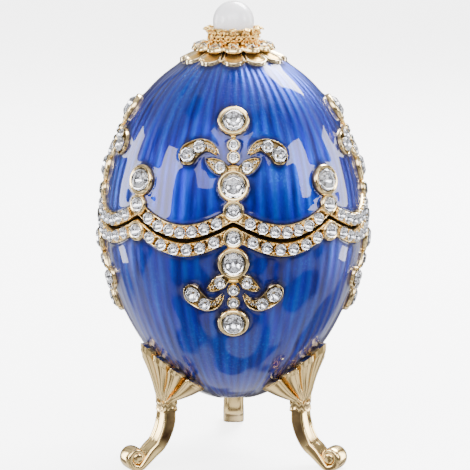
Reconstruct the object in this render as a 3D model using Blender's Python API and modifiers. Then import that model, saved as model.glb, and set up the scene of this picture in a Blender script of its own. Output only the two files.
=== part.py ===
"""Jewelled egg trinket box: a hollow enamelled egg on three scroll legs.

Metres, +Z up, the front towards -Y. The origin is the point on the standing surface
straight below the pearl. An azimuth is measured from the front towards +X.
"""
import math

import bmesh
import bpy
import numpy as np
from mathutils import Matrix, Vector

MM = 0.001

# Egg: a body of revolution, with one power law above the equator and another below it.
EGG_RADIUS = 25.75 * MM
EGG_EQUATOR = 45.9 * MM
EGG_TOP = 82.5 * MM
EGG_BOTTOM = 12.0 * MM
TOP_POWER = 2.22
BOTTOM_POWER = 1.67
WALL = 1.6 * MM
EGG_SEGMENTS = 32
EGG_ROWS = 5
INNER_ROWS = 3

# Gap left between neighbouring solids.
FIT_GAP = 0.3 * MM

# Seam: swags that meet in a slightly rounded crest at each of the eight columns.
SEAM_LOW = 48.6 * MM
SEAM_RISE = 3.4 * MM
SEAM_ROUNDING = 0.05
SEAM_GAP = 0.4 * MM
WAVE_HELD = 4.0 * MM
WAVE_FADED = 15.0 * MM
COLUMNS = 8

# Raised band on each side of the seam, and the lip inside the lid.
BAND_WIDTH = 2.9 * MM
BAND_HEIGHT = 0.5 * MM
RIM_CHAMFER = 0.3 * MM
LIP_HEIGHT = 1.8 * MM
LIP_WALL = 0.8 * MM
LIP_FOOT = 2.0 * MM

# Round crystals and the collets that hold them.
LARGE_STONE = 4.6 * MM
MEDIUM_STONE = 2.9 * MM
SMALL_STONE = 2.2 * MM
COLLET_RIM = 0.7 * MM
COLLET_SEAT = 0.55 * MM
COLLET_FLARE = 0.1 * MM
LARGE_CROWN = 0.9 * MM
MEDIUM_CROWN = 0.75 * MM
TABLE_SHARE = 0.58
LARGE_SIDES = 8
MEDIUM_SIDES = 6
SMALL_SIDES = 5
LEAF_SIDES = 4
SETTING_SINK = 0.7 * MM
STUD_SINK = 0.8 * MM
EGG_SKIRT = 0.6 * MM
BAND_SKIRT = 0.25 * MM
SMALL_STONE_HEIGHT = 0.75 * MM

# Heights of the settings over the crest of the seam, and their places on the egg.
SEAM_STONE_DROP = 2.5 * MM
COLUMN_UPPER = 7.05 * MM
COLUMN_TOP = 18.6 * MM
COLUMN_LOWER = 7.25 * MM
COLUMN_BOTTOM = 19.25 * MM
UPPER_PAIR = (12.2 * MM, 14.45 * MM)
LOWER_PAIR = (12.5 * MM, 15.15 * MM)
UPPER_KNOT = 10.1 * MM
LOWER_KNOT = 10.4 * MM
KNOT_RADIUS = 1.0 * MM

# Festoon stones in each eighth of the seam, above it and below it.
UPPER_FESTOON = 7
LOWER_FESTOON = 6
FESTOON_MARGIN = 4.7
FESTOON_STONE = 2.15 * MM
FESTOON_HEIGHT = 0.9 * MM

# Comma and leaf mounts: azimuth from the column in degrees, height over the crest,
# and half the width, from the head to the tip.
UPPER_COMMA = (
    (19.6, 13.3 * MM, 0.95 * MM),
    (15.0, 14.5 * MM, 1.1 * MM),
    (10.4, 14.4 * MM, 0.8 * MM),
    (6.6, 12.9 * MM, 0.25 * MM),
)
LOWER_COMMA = (
    (17.4, 14.4 * MM, 0.95 * MM),
    (12.4, 15.7 * MM, 1.1 * MM),
    (8.0, 15.5 * MM, 0.8 * MM),
    (4.7, 13.5 * MM, 0.25 * MM),
)
LEAF_LENGTH = 5.0 * MM
LEAF_WIDTH = 2.2 * MM
LEAF_HEIGHT = 0.8 * MM
UPPER_LEAF = (6.4, 10.8 * MM, 27.0)
LOWER_LEAF = (6.2, 11.2 * MM, 27.0)
COMMA_HEAD = 3.5 * MM
COMMA_HEAD_HEIGHT = 1.2 * MM
MOUNT_HEIGHT = 0.75 * MM

# Legs: half sizes across the strap and through it. The neck stands in from the egg where
# the leaf ends, and the foot is rolled outwards from it.
LEG_COUNT = 3
FIRST_LEG_AZIMUTH = 60.0
LEG_SIDES = 6
STRAP_SQUARENESS = 0.65
NECK_INSET = 4.05 * MM
NECK_HEIGHT = 13.2 * MM
NECK_HALF_WIDTH = 2.0 * MM
NECK_HALF_DEPTH = 1.6 * MM
NECK_BAND = 0.35 * MM
NECK_BAND_HEIGHT = 2.2 * MM
NECK_BAND_STEP = 0.1 * MM
SHOULDER_RISE = 2.6 * MM
SHOULDER_HALF_WIDTH = 2.5 * MM
SHOULDER_HALF_DEPTH = 2.2 * MM
SEAT_RISE = 7.0 * MM
SEAT_INSET = 0.6 * MM
SEAT_HALF_WIDTH = 3.0 * MM
SEAT_HALF_DEPTH = 3.0 * MM
SHAFT_HALF_WIDTH = 2.2 * MM
SHAFT_HALF_DEPTH = 1.25 * MM
SHAFT_STATIONS = 3
SHAFT_FLARE_POWER = 1.9
SHAFT_DROP_POWER = 1.15
SHAFT_DROP_SHARE = 0.93
CHANNEL_DEPTH = 0.45 * MM
FOOT_SPREAD = 7.4 * MM
HEEL = 1.4 * MM
SCROLL_RADIUS = 2.8 * MM
SCROLL_HALF_DEPTH = 0.75 * MM
SCROLL_STATIONS = 6
SCROLL_START = -115.0
SCROLL_SWEEP = 250.0
SCROLL_TIGHTENING = 0.45
SCROLL_NARROWING = 0.25
SCROLL_THINNING = 0.3
FOOT_FLAT = 0.3 * MM

# Palmette leaf of each leg, lobed along its upper edge.
# It stands off the egg most at its lip, a little below the tips, and leans back to it above.
LEAF_LOBES = 7
LEAF_SPREAD = 30.0
LEAF_TIP_HEIGHT = 25.4 * MM
LEAF_SIDE_DROP = 8.0 * MM
LEAF_NOTCH = 1.3 * MM
LEAF_THICKNESS = 1.1 * MM
LEAF_BULGE = 0.35 * MM
LEAF_FOOT = 0.2 * MM
LEAF_RISES = (0.0, 0.42, 0.8, 1.0)
LEAF_LIP_STAND = 2.6 * MM
LEAF_TIP_STAND = 0.9 * MM

# Finial, from the crown of the lid upwards.
PETAL_COUNT = 12
PETAL_RADIUS = 10.4 * MM
PETAL_BORE = 5.5 * MM
PETAL_NOTCH = 1.7 * MM
PETAL_THICKNESS = 0.7 * MM
PETAL_LIFT = 0.1 * MM
LOBE_POWER = 0.7
LOBE_STEPS = 4
TIER_COUNT = 6
TIER_RADIUS = 8.3 * MM
TIER_NOTCH = 1.3 * MM
TIER_THICKNESS = 0.8 * MM
TIER_DROOP = 1.0 * MM
CUP_FOOT = 2.6 * MM
CUP_RADIUS = 5.0 * MM
CUP_FLARE = 6.0 * MM
CUP_FLOOR = 0.6 * MM
CUP_LEAVES = 6
CUP_LEAF_DIP = 0.7 * MM
CUP_ROWS = 2
PEARL_RADIUS = 4.04 * MM
PEARL_SEAT = 3.0 * MM
PEARL_SEGMENTS = 14
PEARL_RINGS = 8

# Points closer than this are one point.
MERGE = 0.01 * MM

COLUMN_NAMES = ("front", "right", "back", "left")
QUARTER_NAMES = ("front_right", "back_right", "back_left", "front_left")
LEG_NAMES = ("leg_front_right", "leg_back", "leg_front_left")


def clear_scene():
    for item in list(bpy.data.objects):
        bpy.data.objects.remove(item, do_unlink=True)


def new_collection(name):
    group = bpy.data.collections.new(name)
    bpy.context.scene.collection.children.link(group)
    return group


def new_material(name, colour, metallic, roughness, transmission=0.0):
    material = bpy.data.materials.new(name)
    material.use_nodes = True
    shader = material.node_tree.nodes["Principled BSDF"]
    shader.inputs["Base Color"].default_value = (*colour, 1.0)
    shader.inputs["Metallic"].default_value = metallic
    shader.inputs["Roughness"].default_value = roughness
    shader.inputs["Transmission Weight"].default_value = transmission
    material.diffuse_color = (*colour, 1.0)
    return material


def add_object(name, mesh, group, matrix=None):
    item = bpy.data.objects.new(name, mesh)
    group.objects.link(item)
    if matrix is not None:
        item.matrix_world = matrix
    return item


def as_guide(item):
    item.hide_render = True
    item.display_type = "WIRE"
    return item


def smooth(mesh, degrees=35.0):
    mesh.shade_smooth()
    mesh.set_sharp_from_angle(angle=math.radians(degrees))


def egg_radius(height, grown=0.0):
    """Radius of the egg at a height, with all its half sizes grown by one amount."""
    height = np.asarray(height, dtype=float)
    upper = height > EGG_EQUATOR
    reach = np.where(upper, EGG_TOP - EGG_EQUATOR, EGG_EQUATOR - EGG_BOTTOM) + grown
    power = np.where(upper, TOP_POWER, BOTTOM_POWER)
    share = np.clip(np.abs(height - EGG_EQUATOR) / reach, 0.0, 1.0)
    return (EGG_RADIUS + grown) * np.sqrt(1.0 - share ** power)


def egg_point(azimuth, height, lift=0.0):
    """Point over the egg, for an azimuth in degrees, lifted along the surface's normal."""
    radius, slope = float(egg_radius(height)), egg_slope(height)
    length = math.hypot(1.0, slope)
    out, up = lift / length, -lift * slope / length
    turn = math.radians(azimuth)
    return Vector(((radius + out) * math.sin(turn), -(radius + out) * math.cos(turn), height + up))


def egg_slope(height):
    step = 0.05 * MM
    return float(egg_radius(height + step) - egg_radius(height - step)) / (2.0 * step)


def egg_frame(azimuth, height, lift=0.0):
    """Matrix on the egg: local Z points out of the surface and local Y up the meridian."""
    origin = egg_point(azimuth, height, lift)
    normal = (egg_point(azimuth, height, 1.0) - egg_point(azimuth, height)).normalized()
    turn = math.radians(azimuth)
    across = Vector((math.cos(turn), math.sin(turn), 0.0))
    along = normal.cross(across)
    matrix = Matrix((across, along, normal)).transposed().to_4x4()
    matrix.translation = origin
    return matrix


def seam_wave(azimuth):
    """Share of the seam's rise at an azimuth in radians: one at the columns, nought between."""
    swag = np.sqrt(np.sin(azimuth * COLUMNS / 2.0) ** 2 + SEAM_ROUNDING ** 2) - SEAM_ROUNDING
    return 1.0 - swag / (math.hypot(1.0, SEAM_ROUNDING) - SEAM_ROUNDING)


def seam_height(azimuth):
    return SEAM_LOW + SEAM_RISE * float(seam_wave(math.radians(azimuth)))


def seam_crest():
    return SEAM_LOW + SEAM_RISE


def turned_mesh(name, profile, steps):
    """Mesh turned around Z from (radius, height) pairs that run down the outer side."""
    mesh = bpy.data.meshes.new(name + "_profile")
    points = [(radius, 0.0, height) for radius, height in profile]
    mesh.from_pydata(points, [(i, i + 1) for i in range(len(points) - 1)], [])
    helper = add_object(name + "_profile", mesh, bpy.context.scene.collection)
    screw = helper.modifiers.new("turn", "SCREW")
    screw.steps = steps
    screw.render_steps = steps
    screw.use_merge_vertices = True
    screw.merge_threshold = MERGE
    bpy.context.view_layer.update()
    result = helper.evaluated_get(bpy.context.evaluated_depsgraph_get())
    turned = bpy.data.meshes.new_from_object(result)
    turned.name = name
    bpy.data.objects.remove(helper, do_unlink=True)
    return turned


def mesh_points(mesh):
    flat = np.empty(len(mesh.vertices) * 3, dtype=np.float32)
    mesh.vertices.foreach_get("co", flat)
    return flat.reshape(-1, 3).astype(float)


def set_mesh_points(mesh, points):
    mesh.vertices.foreach_set("co", points.astype(np.float32).ravel())
    mesh.update()


def wave_rim(mesh):
    """Lift the levels near the seam along its wave, and keep every point on the egg."""
    points = mesh_points(mesh)
    azimuth = np.arctan2(points[:, 0], -points[:, 1])
    level = points[:, 2] - SEAM_LOW
    share = np.clip((WAVE_FADED - np.abs(level)) / (WAVE_FADED - WAVE_HELD), 0.0, 1.0)
    raised = points[:, 2] + SEAM_RISE * seam_wave(azimuth) * share
    before = np.maximum(egg_radius(points[:, 2]), MM)
    after = np.maximum(egg_radius(raised), MM)
    scale = np.where(share > 0.0, after / before, 1.0)
    points[:, 0] *= scale
    points[:, 1] *= scale
    points[:, 2] = raised
    set_mesh_points(mesh, points)


def egg_levels(start, end, rows):
    """Heights between two levels, spaced evenly in the angle seen from the equator."""
    reach = EGG_TOP - EGG_EQUATOR if end > start else EGG_EQUATOR - EGG_BOTTOM
    low = math.asin(max(-1.0, min(1.0, abs(start - EGG_EQUATOR) / reach)))
    if (start - EGG_EQUATOR) * (end - EGG_EQUATOR) < 0.0:
        low = -low
    side = 1.0 if end > start else -1.0
    angles = [low + (math.pi / 2.0 - low) * i / rows for i in range(rows)]
    return [EGG_EQUATOR + side * reach * math.sin(angle) for angle in angles]


def wall_points(levels, grown=0.0):
    """Points of the egg's profile at the given heights, without those at its pole."""
    points = [(float(egg_radius(level, grown)), level) for level in levels]
    return [(radius, level) for radius, level in points if radius > WALL]


def lid_profile():
    rim = SEAM_LOW + SEAM_GAP / 2.0
    edge = rim + BAND_WIDTH
    outer = wall_points(egg_levels(edge + BAND_HEIGHT, EGG_TOP, EGG_ROWS))
    inner = wall_points(egg_levels(rim, EGG_TOP, INNER_ROWS), -WALL)
    band = [
        (float(egg_radius(edge)) + BAND_HEIGHT, edge),
        (float(egg_radius(rim)) + BAND_HEIGHT, rim + RIM_CHAMFER),
        (float(egg_radius(rim)) + BAND_HEIGHT - RIM_CHAMFER, rim),
    ]
    return [(0.0, EGG_TOP)] + outer[::-1] + band + inner + [(0.0, EGG_TOP - WALL)]


def bowl_profile():
    rim = SEAM_LOW - SEAM_GAP / 2.0
    edge = rim - BAND_WIDTH
    lip_top = rim + LIP_HEIGHT
    outer = wall_points(egg_levels(edge - BAND_HEIGHT, EGG_BOTTOM, EGG_ROWS))
    foot = rim - LIP_FOOT
    inner = wall_points(egg_levels(foot - LIP_WALL, EGG_BOTTOM, INNER_ROWS), -WALL)
    face = float(egg_radius(rim, -WALL)) - FIT_GAP
    face_top = float(egg_radius(lip_top, -WALL)) - FIT_GAP
    lip = [
        (face - LIP_WALL, foot),
        (face_top - LIP_WALL, lip_top),
        (face_top, lip_top),
        (face, rim),
    ]
    band = [
        (float(egg_radius(rim)) + BAND_HEIGHT - RIM_CHAMFER, rim),
        (float(egg_radius(rim)) + BAND_HEIGHT, rim - RIM_CHAMFER),
        (float(egg_radius(edge)) + BAND_HEIGHT, edge),
    ]
    return [(0.0, EGG_BOTTOM + WALL)] + inner[::-1] + lip + band + outer + [(0.0, EGG_BOTTOM)]


def collet_mesh(name, stone, sides):
    """Low round seat for a stone, wider than it by the collet's rim."""
    radius = stone / 2.0 + COLLET_RIM
    return frustum_mesh(name, radius + COLLET_FLARE, radius, -SETTING_SINK, COLLET_SEAT, sides)


def frustum_mesh(name, base_radius, top_radius, bottom, top, sides):
    """Frustum along Z, used for faceted stones, studs and knots."""
    builder = bmesh.new()
    bmesh.ops.create_cone(builder, cap_ends=True, segments=sides, radius1=base_radius,
                          radius2=top_radius, depth=top - bottom)
    bmesh.ops.translate(builder, vec=(0.0, 0.0, (top + bottom) / 2.0), verts=builder.verts)
    mesh = bpy.data.meshes.new(name)
    builder.to_mesh(mesh)
    builder.free()
    return mesh


def stone_mesh(name, stone, crown, sides):
    """Round brilliant on its seat: the crown narrows to a flat table."""
    base = COLLET_SEAT + FIT_GAP
    return frustum_mesh(name, stone / 2.0, stone / 2.0 * TABLE_SHARE, base, base + crown, sides)


def stud_mesh(name, stone, table, height, sides, skirt=EGG_SKIRT):
    """Small stone fused on its casting: its flanks run on to the skirt, and a straight foot is sunk."""
    base = stone / 2.0 * (1.0 + (1.0 - table) * skirt / height)
    mesh = frustum_mesh(name, base, stone / 2.0 * table, -skirt, height, sides)
    builder = bmesh.new()
    builder.from_mesh(mesh)
    floor = [face for face in builder.faces if face.normal.z < -0.5]
    grown = bmesh.ops.extrude_face_region(builder, geom=floor)
    foot = [item for item in grown["geom"] if isinstance(item, bmesh.types.BMVert)]
    bmesh.ops.translate(builder, vec=(0.0, 0.0, skirt - STUD_SINK), verts=foot)
    bmesh.ops.delete(builder, geom=[face for face in floor if face.is_valid], context="FACES_ONLY")
    bmesh.ops.recalc_face_normals(builder, faces=builder.faces)
    builder.to_mesh(mesh)
    builder.free()
    return mesh


def loft(name, rings):
    """Closed tube through rings of points, with its two ends capped."""
    builder = bmesh.new()
    rows = [[builder.verts.new(point) for point in ring] for ring in rings]
    sides = len(rows[0])
    for lower, upper in zip(rows[:-1], rows[1:]):
        for i in range(sides):
            j = (i + 1) % sides
            builder.faces.new((lower[i], lower[j], upper[j], upper[i]))
    builder.faces.new(rows[0][::-1])
    builder.faces.new(rows[-1])
    bmesh.ops.recalc_face_normals(builder, faces=builder.faces)
    mesh = bpy.data.meshes.new(name)
    builder.to_mesh(mesh)
    builder.free()
    return mesh


def mount_mesh(name, column, side, base, upward, stations):
    """Tapered mount laid along its stations on the egg, with a ridge between sloping flanks."""
    spots = [egg_point(column + side * turn, base + upward * rise) for turn, rise, _ in stations]
    rings = []
    for i, (turn, rise, half) in enumerate(stations):
        ahead = spots[min(i + 1, len(spots) - 1)] - spots[max(i - 1, 0)]
        normal = egg_frame(column + side * turn, base + upward * rise).col[2].to_3d()
        across = ahead.normalized().cross(normal).normalized()
        flank = half * (1.0 + STUD_SINK / MOUNT_HEIGHT)
        section = ((-flank, -STUD_SINK), (0.0, min(MOUNT_HEIGHT, half)), (flank, -STUD_SINK))
        rings.append([spots[i] + across * wide + normal * high for wide, high in section])
    return loft(name, rings)


def union(target, relief):
    modifier = target.modifiers.new("castings", "BOOLEAN")
    modifier.operation = "UNION"
    modifier.solver = "EXACT"
    modifier.operand_type = "COLLECTION"
    modifier.collection = relief


def difference(target, cutter):
    modifier = target.modifiers.new("cut_" + cutter.name, "BOOLEAN")
    modifier.operation = "DIFFERENCE"
    modifier.solver = "EXACT"
    modifier.object = cutter


def add_settings(relief, upward):
    """Collets, studs and mounts of one half of the egg: upward is 1 for the lid, -1 for the bowl."""
    crest = seam_crest()
    half = "lid" if upward > 0 else "bowl"
    large = collet_mesh(half + "_large_collet", LARGE_STONE, LARGE_SIDES)
    medium = collet_mesh(half + "_medium_collet", MEDIUM_STONE, MEDIUM_SIDES)
    stud = stud_mesh(half + "_stud", SMALL_STONE, TABLE_SHARE, SMALL_STONE_HEIGHT, MEDIUM_SIDES)
    head = stud_mesh(half + "_head", COMMA_HEAD, TABLE_SHARE, COMMA_HEAD_HEIGHT, SMALL_SIDES)
    knot = stud_mesh(half + "_knot", 2.0 * KNOT_RADIUS, 0.0, SMALL_STONE_HEIGHT, SMALL_SIDES)
    large_rises = (COLUMN_UPPER, COLUMN_TOP) if upward > 0 else (COLUMN_LOWER, COLUMN_BOTTOM)
    pair = UPPER_PAIR if upward > 0 else LOWER_PAIR
    knot_rise = UPPER_KNOT if upward > 0 else LOWER_KNOT
    comma = UPPER_COMMA if upward > 0 else LOWER_COMMA
    leaf = UPPER_LEAF if upward > 0 else LOWER_LEAF

    blade = stud_mesh(half + "_leaf", LEAF_LENGTH, 0.0, LEAF_HEIGHT, LEAF_SIDES, BAND_SKIRT)
    blade.transform(Matrix.Diagonal((1.0, LEAF_WIDTH / LEAF_LENGTH, 1.0, 1.0)))

    def place(mesh, azimuth, rise):
        item = add_object(mesh.name, mesh, relief, egg_frame(azimuth, crest + upward * rise))
        as_guide(item)

    for index in range(COLUMNS):
        column = 360.0 * index / COLUMNS
        place(medium, column, SEAM_STONE_DROP)
        if index % 2:
            if upward > 0:
                place(large, column, COLUMN_UPPER)
            continue
        for rise in large_rises:
            place(large, column, rise)
        for rise in pair:
            place(stud, column, rise)
        place(knot, column, knot_rise)
        for side in (-1.0, 1.0):
            place(head, column + side * comma[0][0], comma[0][1])
            mesh = mount_mesh(half + "_comma", column, side, crest, upward, comma)
            as_guide(add_object(mesh.name, mesh, relief))
            turn, rise, tilt = leaf
            frame = egg_frame(column + side * turn, crest + upward * rise)
            spin = Matrix.Rotation(math.radians(side * upward * tilt), 4, "Z")
            as_guide(add_object(blade.name, blade, relief, frame @ spin))


def add_festoons(relief, upward):
    """Row of small pointed stones on the band, from each column's seam stone to the next."""
    count = UPPER_FESTOON if upward > 0 else LOWER_FESTOON
    half = "lid" if upward > 0 else "bowl"
    stud = stud_mesh(half + "_festoon", FESTOON_STONE, 0.0, FESTOON_HEIGHT, SMALL_SIDES, BAND_SKIRT)
    sector = 360.0 / COLUMNS
    step = (sector - 2.0 * FESTOON_MARGIN) / (count - 1)
    rise = upward * (SEAM_GAP / 2.0 + BAND_WIDTH / 2.0)
    for index in range(COLUMNS):
        for stone in range(count):
            azimuth = sector * index + FESTOON_MARGIN + step * stone
            matrix = egg_frame(azimuth, seam_height(azimuth) + rise, BAND_HEIGHT)
            as_guide(add_object(stud.name, stud, relief, matrix))


def add_shell(name, profile, upward, parts, material):
    mesh = turned_mesh(name, profile, EGG_SEGMENTS)
    wave_rim(mesh)
    smooth(mesh)
    mesh.materials.append(material)
    shell = add_object(name, mesh, parts)
    relief = new_collection(name + "_relief")
    add_settings(relief, upward)
    add_festoons(relief, upward)
    union(shell, relief)
    return shell


def add_stones(parts, material):
    """Large and medium crystals, each an object of its own that shares one of two meshes."""
    large = stone_mesh("large_crystal", LARGE_STONE, LARGE_CROWN, LARGE_SIDES)
    medium = stone_mesh("medium_crystal", MEDIUM_STONE, MEDIUM_CROWN, MEDIUM_SIDES)
    for mesh in (large, medium):
        smooth(mesh, 20.0)
        mesh.materials.append(material)
    crest = seam_crest()
    rows = (
        ("top", large, COLUMN_TOP),
        ("upper", large, COLUMN_UPPER),
        ("above_seam", medium, SEAM_STONE_DROP),
        ("below_seam", medium, -SEAM_STONE_DROP),
        ("lower", large, -COLUMN_LOWER),
        ("bottom", large, -COLUMN_BOTTOM),
    )
    for index in range(COLUMNS):
        column = 360.0 * index / COLUMNS
        names = QUARTER_NAMES if index % 2 else COLUMN_NAMES
        for label, mesh, rise in rows:
            if index % 2 and label in ("top", "lower", "bottom"):
                continue
            name = "crystal_" + names[index // 2] + "_" + label
            add_object(name, mesh, parts, egg_frame(column, crest + rise))


def strap_section(centre, out, across, half_width, half_depth, channel):
    """Ring of a rounded strap with a shallow channel along its outer face."""
    ring = []
    for k in range(LEG_SIDES):
        angle = 2.0 * math.pi * (k + 0.5) / LEG_SIDES
        side = math.cos(angle)
        depth = math.sin(angle)
        reach = half_depth * math.copysign(abs(depth) ** STRAP_SQUARENESS, depth)
        if depth > 0.0:
            reach -= channel * (1.0 - abs(side))
        wide = half_width * math.copysign(abs(side) ** STRAP_SQUARENESS, side)
        ring.append(centre + across * wide + out * reach)
    return ring


def neck_radius():
    """Radius of the neck's centre line, set in from the egg at the height of the leaf's tips."""
    return float(egg_radius(LEAF_TIP_HEIGHT)) - NECK_INSET


def leg_stations():
    """Stations from the egg to the scroll: radius, height, half width, half depth, channel."""
    neck = neck_radius()
    seat = NECK_HEIGHT + SEAT_RISE
    low = NECK_HEIGHT - NECK_BAND_HEIGHT
    wide = NECK_HALF_WIDTH + NECK_BAND
    deep = NECK_HALF_DEPTH + NECK_BAND
    stations = [
        (neck - SEAT_INSET, seat, SEAT_HALF_WIDTH, SEAT_HALF_DEPTH, 0.0),
        (neck, NECK_HEIGHT + SHOULDER_RISE, SHOULDER_HALF_WIDTH, SHOULDER_HALF_DEPTH, 0.0),
        (neck, NECK_HEIGHT, wide, deep, 0.0),
        (neck, low, wide, deep, 0.0),
        (neck, low - NECK_BAND_STEP, NECK_HALF_WIDTH, NECK_HALF_DEPTH, CHANNEL_DEPTH),
    ]
    axis = neck + FOOT_SPREAD
    roll = SCROLL_RADIUS - SCROLL_HALF_DEPTH
    drop = (low - roll) * SHAFT_DROP_SHARE
    for i in range(1, SHAFT_STATIONS + 1):
        share = i / (SHAFT_STATIONS + 1)
        radius = neck + (FOOT_SPREAD - HEEL) * share ** SHAFT_FLARE_POWER
        height = low - drop * math.sin(share * math.pi / 2.0) ** SHAFT_DROP_POWER
        depth = NECK_HALF_DEPTH + (SHAFT_HALF_DEPTH - NECK_HALF_DEPTH) * share
        stations.append((radius, height, SHAFT_HALF_WIDTH, depth, CHANNEL_DEPTH))
    for i in range(SCROLL_STATIONS + 1):
        share = i / SCROLL_STATIONS
        angle = math.radians(SCROLL_START + SCROLL_SWEEP * share)
        rolled = roll * (1.0 - SCROLL_TIGHTENING * share)
        radius = axis + rolled * math.cos(angle)
        height = SCROLL_RADIUS + rolled * math.sin(angle) - FOOT_FLAT
        width = SHAFT_HALF_WIDTH * (1.0 - SCROLL_NARROWING * share)
        depth = SCROLL_HALF_DEPTH * (1.0 + SCROLL_THINNING * (0.5 - share))
        stations.append((radius, height, width, depth, 0.0))
    return stations


def leg_mesh(name):
    """One leg in the plane of the front, its outer side towards -Y."""
    stations = leg_stations()
    across = Vector((1.0, 0.0, 0.0))
    spots = [Vector((0.0, -radius, height)) for radius, height, *_ in stations]
    rings = []
    for i, (_, _, width, depth, channel) in enumerate(stations):
        ahead = (spots[min(i + 1, len(spots) - 1)] - spots[max(i - 1, 0)]).normalized()
        out = ahead.cross(across)
        rings.append(strap_section(spots[i], out, across, width, depth, channel))
    return loft(name, rings)


def thicken_inwards(builder, thickness):
    """Close a sheet that faces away from the Z axis by a copy of it set nearer to the axis."""
    grown = bmesh.ops.extrude_face_region(builder, geom=builder.faces[:], use_keep_orig=True)
    for item in grown["geom"]:
        if isinstance(item, bmesh.types.BMVert):
            radius = math.hypot(item.co.x, item.co.y)
            item.co.x *= (radius - thickness) / radius
            item.co.y *= (radius - thickness) / radius
    bmesh.ops.recalc_face_normals(builder, faces=builder.faces)


def leaf_mesh(name):
    """Fan-shaped sheet from the neck up to the egg, with a lobe between every two notches."""
    columns = 2 * LEAF_LOBES
    rows = len(LEAF_RISES) - 1
    lip = LEAF_RISES[-2]
    builder = bmesh.new()
    bmesh.ops.create_grid(builder, x_segments=columns, y_segments=rows, size=0.5)
    neck_turn = math.degrees(NECK_HALF_WIDTH / neck_radius())
    near = neck_radius() + NECK_HALF_DEPTH
    foot = NECK_HEIGHT + LEAF_FOOT
    for vertex in builder.verts:
        across = vertex.co.x * 2.0
        rise = LEAF_RISES[round((vertex.co.y + 0.5) * rows)]
        lobe = abs(math.sin((across + 1.0) * LEAF_LOBES * math.pi / 2.0))
        tip = LEAF_TIP_HEIGHT - LEAF_SIDE_DROP * abs(across) - LEAF_NOTCH * (1.0 - lobe)
        height = foot + (tip - foot) * rise
        turn = across * (neck_turn + (LEAF_SPREAD - neck_turn) * rise)
        far = float(egg_radius(foot + (tip - foot) * lip)) + LEAF_LIP_STAND + LEAF_BULGE * lobe
        radius = near + (far - near) * rise / lip
        if rise > lip:
            radius = float(egg_radius(tip)) + LEAF_TIP_STAND
        angle = math.radians(turn)
        vertex.co = Vector((radius * math.sin(angle), -radius * math.cos(angle), height))
    thicken_inwards(builder, LEAF_THICKNESS)
    mesh = bpy.data.meshes.new(name)
    builder.to_mesh(mesh)
    builder.free()
    return mesh


def add_legs(parts, cutters, material):
    egg_cutter = cutter_egg(cutters)
    floor_cutter = cutter_floor(cutters)
    strap = leg_mesh("leg_strap")
    strap.materials.append(material)
    fan = leaf_mesh("leg_leaf")
    for index, name in enumerate(LEG_NAMES):
        azimuth = FIRST_LEG_AZIMUTH + 360.0 * index / LEG_COUNT
        turn = Matrix.Rotation(math.radians(azimuth), 4, "Z")
        leg = add_object(name, strap, parts, turn)
        leaves = new_collection(name + "_leaf")
        as_guide(add_object(name + "_palmette", fan, leaves, turn))
        union(leg, leaves)
        difference(leg, egg_cutter)
        difference(leg, floor_cutter)


def cutter_floor(cutters):
    """Square block under the standing surface, which grinds the flats of the feet."""
    width = 4.0 * EGG_RADIUS
    builder = bmesh.new()
    bmesh.ops.create_cube(builder, size=width)
    bmesh.ops.translate(builder, vec=(0.0, 0.0, -width / 2.0), verts=builder.verts)
    mesh = bpy.data.meshes.new("floor_cutter")
    builder.to_mesh(mesh)
    builder.free()
    return as_guide(add_object("floor_cutter", mesh, cutters))


def cutter_egg(cutters):
    """Egg grown by the fit gap, which leaves the legs seated on the bowl."""
    rows = 2 * EGG_ROWS
    reach = EGG_EQUATOR - EGG_BOTTOM + FIT_GAP
    top = EGG_EQUATOR + BAND_WIDTH
    profile = [(0.0, top)]
    for i in range(rows):
        height = EGG_EQUATOR - reach * math.sin(math.pi / 2.0 * i / rows)
        profile.append((float(egg_radius(height, FIT_GAP)), height))
    profile.append((0.0, EGG_BOTTOM - FIT_GAP))
    mesh = turned_mesh("egg_cutter", profile, EGG_SEGMENTS)
    return as_guide(add_object("egg_cutter", mesh, cutters))


def lobed_ring(name, circles, notch, count, height_at):
    """Open annulus with lobes round its edge, whose height follows from the radius."""
    inner, outer = circles
    profile = [(radius, height_at(radius)) for radius in circles]
    mesh = turned_mesh(name, profile, count * LOBE_STEPS)
    points = mesh_points(mesh)
    radius = np.hypot(points[:, 0], points[:, 1])
    azimuth = np.arctan2(points[:, 0], -points[:, 1])
    lobe = np.abs(np.cos(azimuth * count / 2.0)) ** LOBE_POWER
    rim = (radius - inner) / (outer - inner)
    shrunk = radius - notch * (1.0 - lobe) * rim
    points[:, 0] *= shrunk / radius
    points[:, 1] *= shrunk / radius
    points[:, 2] = [height_at(value) for value in shrunk]
    set_mesh_points(mesh, points)
    return mesh


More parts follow.
